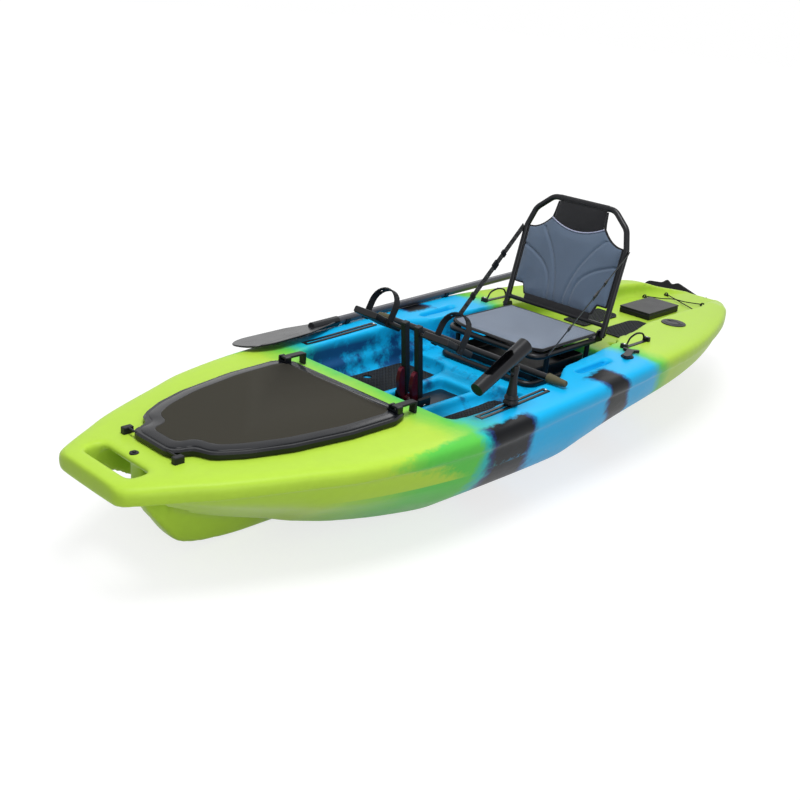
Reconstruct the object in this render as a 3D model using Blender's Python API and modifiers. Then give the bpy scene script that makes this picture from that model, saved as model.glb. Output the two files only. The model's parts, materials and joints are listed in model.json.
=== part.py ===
"""Single-seat pedal kayak with its seat, drive, rudder and deck fittings.

Units are metres. +X points to the bow, +Y to port and +Z up. The origin lies on
the flat of the keel, amidships, where the kayak stands on the ground.
"""
import math

import bmesh
import bpy
from mathutils import Matrix, Vector

# Hull size and the size at which the lines below are drawn
HULL_LENGTH = 3.06
HULL_BEAM = 0.95
HULL_DEPTH = 0.358
LINES_LENGTH = 3.06
LINES_BEAM = 0.95
LINES_DEPTH = 0.358
HULL_WALL = 0.006
GAP = 0.0003
TURNING_PLAY = 0.0009
CUT_REACH = 0.100

# Lines of form, bow to stern: station and half breadth or height
RIM_HALF = (
    (1.535, 0.118), (1.527, 0.142), (1.505, 0.160), (1.470, 0.182), (1.410, 0.215), (1.330, 0.262),
    (1.110, 0.358), (0.980, 0.410), (0.730, 0.458), (0.500, 0.475), (0.000, 0.475), (-0.300, 0.468),
    (-0.570, 0.445), (-0.800, 0.405), (-1.090, 0.320), (-1.300, 0.225), (-1.500, 0.095), (-1.525, 0.075),
)
DECK_Z = (
    (1.535, 0.316), (1.400, 0.3215), (1.000, 0.3253), (0.620, 0.3289), (0.500, 0.3292), (0.170, 0.341),
    (-0.120, 0.352), (-0.360, 0.358), (-0.800, 0.352), (-1.250, 0.345), (-1.380, 0.315), (-1.525, 0.290),
)
KEEL_Z = (
    (1.535, 0.262), (1.440, 0.252), (1.410, 0.235), (1.389, 0.183), (1.338, 0.105), (1.279, 0.036),
    (1.187, 0.012), (1.050, 0.000), (-1.000, 0.000), (-1.250, 0.015), (-1.420, 0.060), (-1.500, 0.120),
    (-1.525, 0.170),
)
CREASE_Z = (
    (1.535, 0.2625), (1.410, 0.240), (1.389, 0.205), (1.300, 0.152), (1.200, 0.105), (1.100, 0.080),
    (1.000, 0.062), (0.900, 0.054), (0.500, 0.045), (-0.900, 0.045), (-1.200, 0.060), (-1.400, 0.085),
    (-1.525, 0.172),
)
SPONSON_Z = (
    (1.535, 0.263), (1.410, 0.244), (1.389, 0.216), (1.300, 0.166), (1.200, 0.125), (1.100, 0.092),
    (1.000, 0.062), (0.900, 0.040), (0.750, 0.018), (0.600, 0.004), (0.500, 0.000), (-0.600, 0.000),
    (-0.900, 0.012), (-1.200, 0.040), (-1.400, 0.072), (-1.525, 0.176),
)
CHINE_HALF = (
    (1.535, 0.100), (1.500, 0.120), (1.410, 0.150), (1.300, 0.160), (1.200, 0.170), (1.100, 0.178),
    (1.000, 0.215), (0.883, 0.272), (0.691, 0.345), (0.549, 0.379), (0.090, 0.391), (-0.080, 0.365),
    (-0.264, 0.330), (-0.600, 0.275), (-1.050, 0.197), (-1.390, 0.125), (-1.525, 0.055),
)
CHINE_Z = (
    (1.535, 0.264), (1.440, 0.258), (1.389, 0.238), (1.300, 0.200), (1.200, 0.165), (1.100, 0.130),
    (1.000, 0.105), (0.900, 0.100), (-1.200, 0.100), (-1.400, 0.115), (-1.525, 0.190),
)
RIM_BAND = 0.033
SHOULDER_DROP = 0.018
RIM_OVERHANG = 0.030
KEEL_FLAT_HALF = 0.032
TUNNEL_HALF = 0.085
CHINE_SLOPE = 1.28

# Cockpit, footwells and tank well
SEAT_DECK_Z = 0.250
FOOT_FLOOR_Z = 0.200
DRIVE_DECK_Z = 0.235
TANK_FLOOR_Z = 0.288
COCKPIT_FRONT = 0.578
COCKPIT_HALF = 0.352
COCKPIT_NARROW_HALF = 0.292
COCKPIT_REAR_HALF = 0.255
COCKPIT_REAR = -0.440
SEAT_DECK_FRONT = 0.045
FOOTWELL_INNER = 0.092
FOOTWELL_LEDGE = 0.022
TANK_HALF = 0.184
SCUPPER_RADIUS = 0.012
SCUPPERS = ((0.300, 0.270), (-0.560, 0.150))
BOW_SLOT_X = 1.440
BOW_SLOT_LENGTH = 0.050
BOW_SLOT_HALF = 0.100

# Bow hatch
HATCH_FRONT = 1.354
HATCH_REAR = 0.672
HATCH_THICK = 0.022
HATCH_PAD_THICK = 0.005
HATCH_PAD_INSET = 0.014
HATCH_OPENING_INSET = 0.055
HATCH_PIN_X = 1.347
HATCH_PIN_RADIUS = 0.003
HATCH_TONGUE_HALF = 0.100
SEAL_THICK = 0.004
HINGE_FOOT = (0.030, 0.018, 0.022)
LATCH_INSET = 0.034
LATCH_Y = 0.238

# Pedal drive
PIVOT_X = 0.365
PIVOT_Z = 0.223
DRIVE_LEDGE_Z = 0.185
DRIVE_SLOT_FRONT = 0.545
DRIVE_SLOT_REAR = 0.165
DRIVE_SLOT_HALF = 0.050
DRIVE_FLANGE = 0.018
CRANK_Y = 0.028
CRANK_LEAN = math.radians(8.0)
CRANK_LENGTH = 0.262
CRANK_HUB_RADIUS = 0.018
CRANK_HUB_WIDTH = 0.020
SHAFT_RADIUS = 0.006
SHAFT_PLAY = 0.0003
PEDAL_Y = 0.150
PEDAL_WIDTH = 0.100
PEDAL_LENGTH = 0.140
PEDAL_THICK = 0.022
PEDAL_PIN_RADIUS = 0.0065
PEDAL_TILT = math.radians(-28.0)
STRAP_HEIGHT = 0.088
FIN_AXIS_Z = 0.052
FIN_SPAN = 0.236
FIN_CHORD = 0.112
FIN_THICK = 0.010
FIN_MAST_RADIUS = 0.006
FIN_DRUM_RADIUS = 0.013
FIN_DRUM_LENGTH = 0.146
FIN_RECESS_Z = 0.078

# Seat
SEAT_TUBE = 0.0105
SEAT_FRONT = -0.015
SEAT_REAR = -0.385
SEAT_HALF = 0.195
SEAT_TOP_Z = 0.352
BACK_PIVOT_X = -0.368
BACK_PIVOT_Z = 0.378
BACK_LEAN = math.radians(13.0)
BACK_HEIGHT = 0.425
BACK_TOP_HALF = 0.118
CUSHION_THICK = 0.024

# Deck fittings
TRACK_LENGTH = 0.330
TRACK_WIDTH = 0.028
TRACK_X = 0.339
TRACK_THICK = 0.012
TRACK_PROUD = 0.004
TRACK_INSET = 0.099
HANDLE_X = -0.434
HANDLE_LENGTH = 0.148
HANDLE_Y = 0.314
HANDLE_WIRE = 0.0035
HANDLE_FOOT = (0.014, 0.026, 0.020)
DISC_X = -0.815
DISC_Y = 0.249
DISC_RADIUS = 0.048
BOX_FRONT = -0.950
BOX_LENGTH = 0.235
BOX_HALF = 0.070
PADDLE_Y = -0.452
PADDLE_LENGTH = 2.100
PADDLE_TIP_X = 0.720
PADDLE_RADIUS = 0.0145
PADDLE_SLOPE = 0.031
PADDLE_SEAT_Z = 0.360
PADDLE_SOCKET = 0.120
SHAFT_IN_SOCKET = 0.060
CLIP_SETBACK = 0.054
REAR_CLIP_X = -0.280
CLIP_WIDTH = 0.022
CLIP_WALL = 0.004
BLADE_LENGTH = 0.420
BLADE_WIDTH = 0.160
ROD_HOLDER_X = 0.355
KNOB_RADIUS = 0.0225
THWART_X = 0.120
THWART_RADIUS = 0.0115
GRIP_RADIUS = 0.016
GRIP_TO_PADDLE = 0.0292
DECK_POCKET = (0.200, 0.014, 0.003)
DECK_POCKET_X = -0.115
DECK_POCKET_INSET = 0.020
RUDDER_PIN_X = -1.568
RUDDER_BLADE_SPAN = 0.340

# Finishes: colour, roughness, metallic
LIME = ((0.42, 0.72, 0.06), 0.38, 0.0)
BLACK = ((0.012, 0.014, 0.018), 0.42, 0.0)
OLIVE_PAD = ((0.045, 0.043, 0.033), 0.85, 0.0)
EVA = ((0.03, 0.033, 0.038), 0.9, 0.0)
RUBBER = ((0.01, 0.01, 0.011), 0.75, 0.0)
RED = ((0.09, 0.006, 0.015), 0.35, 0.6)
STEEL = ((0.62, 0.62, 0.63), 0.3, 1.0)
DARK_ALLOY = ((0.02, 0.02, 0.024), 0.35, 0.8)
SLATE = ((0.11, 0.16, 0.24), 0.85, 0.0)
PALE_SLATE = ((0.25, 0.29, 0.36), 0.85, 0.0)
OLIVE = ((0.09, 0.085, 0.045), 0.6, 0.0)
PALE = ((0.62, 0.62, 0.68), 0.35, 0.1)

SLIGHT_BEND = math.radians(24.0)
ALONG_Y = (math.pi / 2, 0.0, 0.0)
ALONG_X = (0.0, math.pi / 2, 0.0)
SIDES = (("port", 1), ("starboard", -1))


# Collections and plain helpers
def new_collection(name):
    group = bpy.data.collections.new(name)
    bpy.context.scene.collection.children.link(group)
    return group


for old in list(bpy.data.objects):
    bpy.data.objects.remove(old, do_unlink=True)
PARTS = new_collection("pedal_kayak")
CUTTERS = new_collection("cutters")


def material_for(name, finish):
    colour, roughness, metallic = finish
    made = bpy.data.materials.new(name)
    made.use_nodes = True
    shader = made.node_tree.nodes["Principled BSDF"]
    shader.inputs["Base Color"].default_value = (*colour, 1.0)
    shader.inputs["Roughness"].default_value = roughness
    shader.inputs["Metallic"].default_value = metallic
    return made


def place(name, data, finish, at=(0, 0, 0), turn=(0, 0, 0)):
    obj = bpy.data.objects.new(name, data)
    obj.location = at
    obj.rotation_euler = turn
    data.materials.clear()
    data.materials.append(material_for(name, finish))
    PARTS.objects.link(obj)
    return obj


def mesh_from(bm, name):
    mesh = bpy.data.meshes.new(name)
    bm.to_mesh(mesh)
    bm.free()
    return mesh


def evaluated_mesh(obj):
    bpy.context.view_layer.update()
    graph = bpy.context.evaluated_depsgraph_get()
    return bpy.data.meshes.new_from_object(obj.evaluated_get(graph))


def bake(obj):
    """Keep what the modifiers make, so later cuts start from plain faces."""
    mesh = evaluated_mesh(obj)
    obj.modifiers.clear()
    obj.data = mesh
    return obj


def rounded_edges(obj, width, steps=2, angle=35.0):
    bevel = obj.modifiers.new("rounded edges", "BEVEL")
    bevel.width = width
    bevel.segments = steps
    bevel.limit_method = "ANGLE"
    bevel.angle_limit = math.radians(angle)
    return obj


def box(name, size, finish, at, turn=(0, 0, 0), edge=0.0, steps=1):
    bm = bmesh.new()
    bmesh.ops.create_cube(bm, size=1.0)
    bmesh.ops.scale(bm, vec=size, verts=bm.verts)
    obj = place(name, mesh_from(bm, name), finish, at, turn)
    return rounded_edges(obj, edge, steps) if edge else obj


def rod(name, radius, length, finish, at, turn=(0, 0, 0), sides=16, end_radius=None, edge=0.0):
    bm = bmesh.new()
    far = radius if end_radius is None else end_radius
    bmesh.ops.create_cone(
        bm, cap_ends=True, segments=sides, radius1=radius, radius2=far, depth=length
    )
    obj = place(name, mesh_from(bm, name), finish, at, turn)
    obj.data.shade_smooth()
    obj.data.set_sharp_from_angle(angle=math.radians(40))
    return rounded_edges(obj, edge, 1, 60.0) if edge else obj


def turned(name, profile, finish, at, turn=(0, 0, 0), sides=20):
    """Turn a profile of radius and height, read from the top down, about Z."""
    mesh = bpy.data.meshes.new(name)
    closed = profile[0] == profile[-1]
    points = [(r, 0, z) for r, z in (profile[:-1] if closed else profile)]
    edges = [(i, i + 1) for i in range(len(points) - 1)]
    if closed:
        edges.append((len(points) - 1, 0))
    mesh.from_pydata(points, edges, [])
    obj = place(name, mesh, finish, at, turn)
    screw = obj.modifiers.new("turned", "SCREW")
    screw.steps = sides
    screw.render_steps = sides
    screw.use_merge_vertices = True
    screw.merge_threshold = 0.00001
    return obj


def tube(name, points, radius, finish, cyclic=False, resolution=2):
    data = bpy.data.curves.new(name, "CURVE")
    data.dimensions = "3D"
    line = data.splines.new("POLY")
    line.points.add(len(points) - 1)
    for knot, point in zip(line.points, points):
        knot.co = (*point, 1.0)
    line.use_cyclic_u = cyclic
    data.bevel_depth = radius
    data.bevel_resolution = resolution
    data.use_fill_caps = not cyclic
    return place(name, data, finish)


def as_mesh(obj):
    """Turn a curve into a mesh with welded caps."""
    mesh = evaluated_mesh(obj)
    name, world = obj.name, obj.matrix_world.copy()
    bm = bmesh.new()
    bm.from_mesh(mesh)
    bmesh.ops.remove_doubles(bm, verts=bm.verts, dist=0.00001)
    bmesh.ops.recalc_face_normals(bm, faces=bm.faces)
    bm.to_mesh(mesh)
    bm.free()
    bpy.data.objects.remove(obj, do_unlink=True)
    solid = bpy.data.objects.new(name, mesh)
    solid.matrix_world = world
    PARTS.objects.link(solid)
    return solid


def plate(name, outline, thickness, finish, at=(0, 0, 0), turn=(0, 0, 0), holes=(), edge=0.0):
    """A flat outline with any holes, thickened evenly about its plane."""
    data = bpy.data.curves.new(name, "CURVE")
    data.dimensions = "2D"
    data.fill_mode = "BOTH"
    data.extrude = thickness / 2
    for loop in (outline, *holes):
        line = data.splines.new("POLY")
        line.points.add(len(loop) - 1)
        for knot, point in zip(line.points, loop):
            knot.co = (point[0], point[1], 0.0, 1.0)
        line.use_cyclic_u = True
    obj = as_mesh(place(name, data, finish, at, turn))
    return rounded_edges(obj, edge, 1) if edge else obj


def loft(name, rings, finish):
    """Skin closed rings of equal count, first to last, with flat ends."""
    bm = bmesh.new()
    rows = [[bm.verts.new(point) for point in ring] for ring in rings]
    count = len(rows[0])
    for near, far in zip(rows, rows[1:]):
        for i in range(count):
            j = (i + 1) % count
            bm.faces.new((near[i], near[j], far[j], far[i]))
    bm.faces.new(rows[0][::-1])
    bm.faces.new(rows[-1])
    bmesh.ops.remove_doubles(bm, verts=bm.verts, dist=0.00001)
    bmesh.ops.recalc_face_normals(bm, faces=bm.faces)
    return place(name, mesh_from(bm, name), finish)


def boolean(target, tool, operation, solver="EXACT"):
    step = target.modifiers.new(operation.lower(), "BOOLEAN")
    step.operation = operation
    step.solver = solver
    step.object = tool
    tool.hide_render = True
    tool.display_type = "WIRE"
    if tool.name in PARTS.objects:
        PARTS.objects.unlink(tool)
        CUTTERS.objects.link(tool)
    return target


def cut(target, *tools, solver="EXACT"):
    for tool in tools:
        boolean(target, tool, "DIFFERENCE", solver)
    return target


def fuse(target, *others, solver="EXACT"):
    for other in others:
        boolean(target, other, "UNION", solver)
    return bake(target)


def pivot(name, at):
    empty = bpy.data.objects.new(name, None)
    empty.empty_display_size = 0.05
    empty.location = at
    PARTS.objects.link(empty)
    return empty


def hang(carrier, *pieces):
    """Parent pieces to a pivot and leave them where they stand."""
    bpy.context.view_layer.update()
    for piece in pieces:
        piece.parent = carrier
        piece.matrix_parent_inverse = carrier.matrix_world.inverted()


# Outlines
def arc(radius, start, end, steps, centre=(0.0, 0.0)):
    span = math.radians(end - start)
    first = math.radians(start)
    return [
        (
            centre[0] + radius * math.cos(first + span * i / steps),
            centre[1] + radius * math.sin(first + span * i / steps),
        )
        for i in range(steps + 1)
    ]


def circle(radius, centre=(0.0, 0.0), steps=16):
    return arc(radius, 0, 360, steps, centre)[:-1]


def mirrored(half):
    """Close a half outline, listed bow to stern at port, with its starboard half."""
    port = [point for point in half if point[1] > 0]
    return port + [(x, -y) for x, y in reversed(port)]


def offset(outline, distance):
    """Grow a closed outline, listed anticlockwise, by moving each side out."""
    grown = []
    count = len(outline)
    for i in range(count):
        before = Vector(outline[i - 1])
        here = Vector(outline[i])
        after = Vector(outline[(i + 1) % count])
        first = (here - before).normalized()
        second = (after - here).normalized()
        normal_a = Vector((first.y, -first.x))
        normal_b = Vector((second.y, -second.x))
        bend = 1.0 + normal_a.dot(normal_b)
        grown.append(tuple(here + (normal_a + normal_b) * (distance / max(bend, 0.3))))
    return grown


def softened(points, radius, steps=3, closed=True):
    """Round each corner of a path in two or three dimensions; slight bends stay."""
    eased = []
    count = len(points)
    for i, point in enumerate(points):
        here = Vector(point)
        if not closed and i in (0, count - 1):
            eased.append(tuple(here))
            continue
        to_before = Vector(points[i - 1]) - here
        to_after = Vector(points[(i + 1) % count]) - here
        if to_before.angle(-to_after) < SLIGHT_BEND:
            eased.append(tuple(here))
            continue
        reach = min(radius, 0.45 * to_before.length, 0.45 * to_after.length)
        start = here + to_before.normalized() * reach
        end = here + to_after.normalized() * reach
        for k in range(steps + 1):
            t = k / steps
            eased.append(tuple(start * (1 - t) ** 2 + here * (2 * t * (1 - t)) + end * t**2))
    return eased


# Lines of form read at any station
LONG = HULL_LENGTH / LINES_LENGTH
WIDE = HULL_BEAM / LINES_BEAM
TALL = HULL_DEPTH / LINES_DEPTH


def read_line(line, station):
    """Read a line smoothly between its stations, without overshoot."""
    points = line[::-1]
    x = min(max(station, points[0][0]), points[-1][0])
    i = 0
    while i < len(points) - 2 and x > points[i + 1][0]:
        i += 1

    def steepness(k):
        return (points[k + 1][1] - points[k][1]) / (points[k + 1][0] - points[k][0])

    def slope_at(k):
        if k == 0 or k == len(points) - 1:
            return steepness(min(k, len(points) - 2))
        before, after = steepness(k - 1), steepness(k)
        if before * after <= 0:
            return 0.0
        return 2 * before * after / (before + after)

    span = points[i + 1][0] - points[i][0]
    t = (x - points[i][0]) / span
    start, end = points[i][1], points[i + 1][1]
    lead, trail = slope_at(i) * span, slope_at(i + 1) * span
    return (
        start * (2 * t**3 - 3 * t**2 + 1)
        + lead * (t**3 - 2 * t**2 + t)
        + end * (3 * t**2 - 2 * t**3)
        + trail * (t**3 - t**2)
    )


def rim_half(x):
    return read_line(RIM_HALF, x / LONG) * WIDE


def deck_z(x):
    return read_line(DECK_Z, x / LONG) * TALL


def deck_pitch(x):
    """The turn about Y that lays a fitting along the deck at x."""
    reach = 0.01
    return -math.atan2(deck_z(x + reach) - deck_z(x - reach), 2 * reach)


def hull_half_section(x):
    """Half a section from the keel round the side to the middle of the deck."""
    station = x / LONG
    keel = read_line(KEEL_Z, station) * TALL
    crease = read_line(CREASE_Z, station) * TALL
    sponson = read_line(SPONSON_Z, station) * TALL
    chine_y = read_line(CHINE_HALF, station) * WIDE
    chine = read_line(CHINE_Z, station) * TALL
    rim = rim_half(x)
    top = deck_z(x)
    band = top - SHOULDER_DROP
    low = band - RIM_BAND
    side = rim - min(RIM_OVERHANG, 0.16 * rim)
    sponson_y = chine_y - CHINE_SLOPE * (chine - sponson)
    tunnel_y = min(TUNNEL_HALF, 0.45 * sponson_y)
    flat_y = min(KEEL_FLAT_HALF, 0.3 * sponson_y)
    return [
        (0.0, keel),
        (flat_y, keel),
        (tunnel_y, crease),
        (0.55 * sponson_y + 0.45 * tunnel_y, sponson),
        (sponson_y, sponson),
        (chine_y, chine),
        (0.3 * chine_y + 0.7 * side, 0.55 * chine + 0.45 * low),
        (side, low - 0.004),
        (rim, low),
        (rim, band),
        (rim - 0.008, band + 0.011),
        (rim - 0.028, top - 0.002),
        (rim - 0.055, top),
        (0.0, top),
    ]


def void_half_section(x):
    """The same section inside the wall."""
    outer = hull_half_section(x)
    wall = HULL_WALL
    flat, tunnel, inner, sponson, chine, middle, side, rim, band = outer[1:10]
    top = deck_z(x) - wall
    return [
        (0.0, flat[1] + wall),
        (flat[0] * 0.7, flat[1] + wall),
        (tunnel[0], max(tunnel[1], flat[1]) + wall),
        (inner[0], inner[1] + wall),
        (sponson[0] - 0.3 * wall, sponson[1] + wall),
        (chine[0] - 0.7 * wall, chine[1] + 0.8 * wall),
        (middle[0] - wall, middle[1]),
        (side[0] - wall, side[1] + 0.5 * wall),
        (rim[0] - wall, rim[1] + wall),
        (band[0] - wall, band[1] - 0.2 * wall),
        (band[0] - 0.032, top),
        (0.0, top),
    ]


def ring_at(x, half):
    """Mirror a half section into a closed ring across the hull."""
    port = [(x, y, z) for y, z in half]
    starboard = [(x, -y, z) for y, z in reversed(half) if y > 0]
    return port + starboard


HULL_STATIONS = (
    1.535, 1.527, 1.505, 1.470, 1.435, 1.410, 1.389, 1.365, 1.338, 1.307, 1.279, 1.245, 1.187, 1.120,
    1.050, 0.970, 0.880, 0.770, 0.640, 0.500, 0.300, 0.090, -0.080, -0.264, -0.450, -0.640, -0.830,
    -1.000, -1.130, -1.250, -1.330, -1.400, -1.460, -1.500, -1.525,
)
VOID_STATIONS = (1.365, 1.300, 1.200, 1.050, 0.880, 0.640, 0.300, -0.080, -0.450, -0.830, -1.130, -1.330, -1.480)
HULL_BEDS = []


def tub(name, outline, floor, top, grow=0.0, corner=0.03, fillet=0.012, draft=0.006):
    """A rounded well cut down from the deck, or its wall when grown."""
    rings = []
    for inset, height in ((fillet, 0.0), (0.0, fillet)):
        rings.append((grow - draft - inset, floor - grow + height))
    rings.append((grow, top))
    loops = []
    for inset, z in rings:
        loop = softened(offset(outline, inset), corner + grow, 2)
        loops.append([(x, y, z) for x, y in loop])
    return loft(name, loops, LIME)


def cockpit_outline():
    return mirrored((
        (COCKPIT_FRONT, COCKPIT_HALF - 0.012), (COCKPIT_FRONT - 0.15, COCKPIT_HALF), (SEAT_DECK_FRONT, COCKPIT_HALF - 0.012),
        (SEAT_DECK_FRONT - 0.08, COCKPIT_NARROW_HALF), (-0.360, COCKPIT_REAR_HALF + 0.012), (COCKPIT_REAR, COCKPIT_REAR_HALF),
    ))


def tank_outline():
    return mirrored((
        (COCKPIT_REAR + 0.05, COCKPIT_REAR_HALF - 0.012), (-0.600, 0.216), (-0.740, TANK_HALF), (-1.150, TANK_HALF - 0.004),
        (-1.300, 0.150), (-1.440, 0.102), (-1.560, 0.070),
    ))


def footwell_outline(side):
    half = COCKPIT_HALF - FOOTWELL_LEDGE
    points = [
        (COCKPIT_FRONT - 0.015, half), (SEAT_DECK_FRONT + 0.012, half),
        (SEAT_DECK_FRONT + 0.012, FOOTWELL_INNER), (COCKPIT_FRONT - 0.015, FOOTWELL_INNER),
    ]
    return points if side > 0 else [(x, -y) for x, y in reversed(points)]


def hatch_outline(inset=0.0):
    """The bow lid: a narrow tongue between the hinges, then a wide tapering body."""
    tongue_rear = 1.292
    half = mirrored((
        (HATCH_FRONT, HATCH_TONGUE_HALF - 0.014), (tongue_rear, HATCH_TONGUE_HALF), (tongue_rear - 0.012, 0.150),
        (1.200, 0.196), (1.080, 0.238), (0.900, 0.270), (0.740, 0.276), (HATCH_REAR + 0.012, 0.256), (HATCH_REAR, 0.225),
    ))
    return offset(half, -inset) if inset else half


def hatch_frame(height):
    """Place and turn on the bow deck, at a height above it."""
    middle = (HATCH_FRONT + HATCH_REAR) / 2
    return (middle, 0.0, deck_z(middle) + height), (0.0, deck_pitch(middle), 0.0)


def about_middle(outline):
    middle = (HATCH_FRONT + HATCH_REAR) / 2
    return [(x - middle, y) for x, y in outline]


def walled_wells(grow):
    """Wells whose walls stand clear inside the hull."""
    high = HULL_DEPTH + CUT_REACH
    wells = [
        tub("cockpit_cutter", cockpit_outline(), SEAT_DECK_Z, high, grow),
        tub("tank_well_cutter", tank_outline(), TANK_FLOOR_Z, high, grow, 0.02),
    ]
    middle = mirrored(((COCKPIT_FRONT - 0.022, FOOTWELL_INNER + 0.03), (SEAT_DECK_FRONT + 0.022, FOOTWELL_INNER + 0.03)))
    wells.append(tub("drive_deck_cutter", middle, DRIVE_DECK_Z, SEAT_DECK_Z + 0.02, grow, 0.01))
    for word, side in SIDES:
        outline = footwell_outline(side)
        wells.append(tub(word + "_footwell_cutter", outline, FOOT_FLOOR_Z, SEAT_DECK_Z + 0.03, grow, 0.03, 0.015))
    slot_x = (DRIVE_SLOT_FRONT + DRIVE_SLOT_REAR) / 2
    slot_length = DRIVE_SLOT_FRONT - DRIVE_SLOT_REAR
    ledge = (slot_length + 2 * DRIVE_FLANGE + 2 * grow, 2 * (DRIVE_SLOT_HALF + DRIVE_FLANGE + grow), 0.2)
    wells.append(box("drive_ledge_cutter", ledge, LIME, (slot_x, 0, DRIVE_LEDGE_Z - grow + 0.1)))
    slot = (slot_length + 2 * grow, 2 * (DRIVE_SLOT_HALF + grow), 0.5)
    wells.append(box("drive_slot_cutter", slot, LIME, (slot_x, 0, 0.1)))
    recess = (slot_length + 0.008 + 2 * grow, 2 * (FIN_SPAN + 0.014 + grow), 0.2)
    wells.append(box("fin_recess_cutter", recess, LIME, (slot_x, 0, FIN_RECESS_Z + grow - 0.1)))
    for number, (x, y) in enumerate(SCUPPERS):
        for word, side in SIDES:
            name = f"{word}_scupper_{number}_cutter"
            wells.append(rod(name, SCUPPER_RADIUS + grow, 0.9, LIME, (x, y * side, 0.2), sides=12))
    return wells


def make_hull():
    rings = [ring_at(x * LONG, hull_half_section(x * LONG)) for x in HULL_STATIONS]
    hull = loft("hull", rings, LIME)
    rings = [ring_at(x * LONG, void_half_section(x * LONG)) for x in VOID_STATIONS]
    void = loft("void", rings, LIME)
    bake(cut(void, *walled_wells(HULL_WALL), solver="MANIFOLD"))
    opening = hatch_outline(HATCH_OPENING_INSET)
    hatch_floor = deck_z(HATCH_REAR) - CUT_REACH / 2
    hatch_cutter = tub("hatch_opening_cutter", opening, hatch_floor, HULL_DEPTH + CUT_REACH, 0, 0.02, 0.001, 0.0)
    slot = softened(mirrored((
        (BOW_SLOT_X + BOW_SLOT_LENGTH / 2, BOW_SLOT_HALF), (BOW_SLOT_X - BOW_SLOT_LENGTH / 2, BOW_SLOT_HALF),
    )), 0.024, 4)
    slot_cutter = plate("bow_slot_cutter", slot, 0.4, LIME, (0, 0, deck_z(BOW_SLOT_X)))
    cut(hull, void, *walled_wells(0.0), hatch_cutter, slot_cutter, solver="MANIFOLD")
    return bake(hull)


def bed(cutter):
    """Note a pocket that the hull gets under a fitting."""
    HULL_BEDS.append(cutter)


def bed_box(name, size, at, turn):
    """A pocket for a box-shaped foot, open upwards."""
    grown = (size[0] + 2 * GAP, size[1] + 2 * GAP, size[2] + 2 * GAP + 0.04)
    lift = Matrix.Rotation(turn[2], 3, "Z") @ Matrix.Rotation(turn[1], 3, "Y") @ Vector((0, 0, 0.02))
    bed(box(name, grown, LIME, tuple(Vector(at) + lift), turn))


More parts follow.
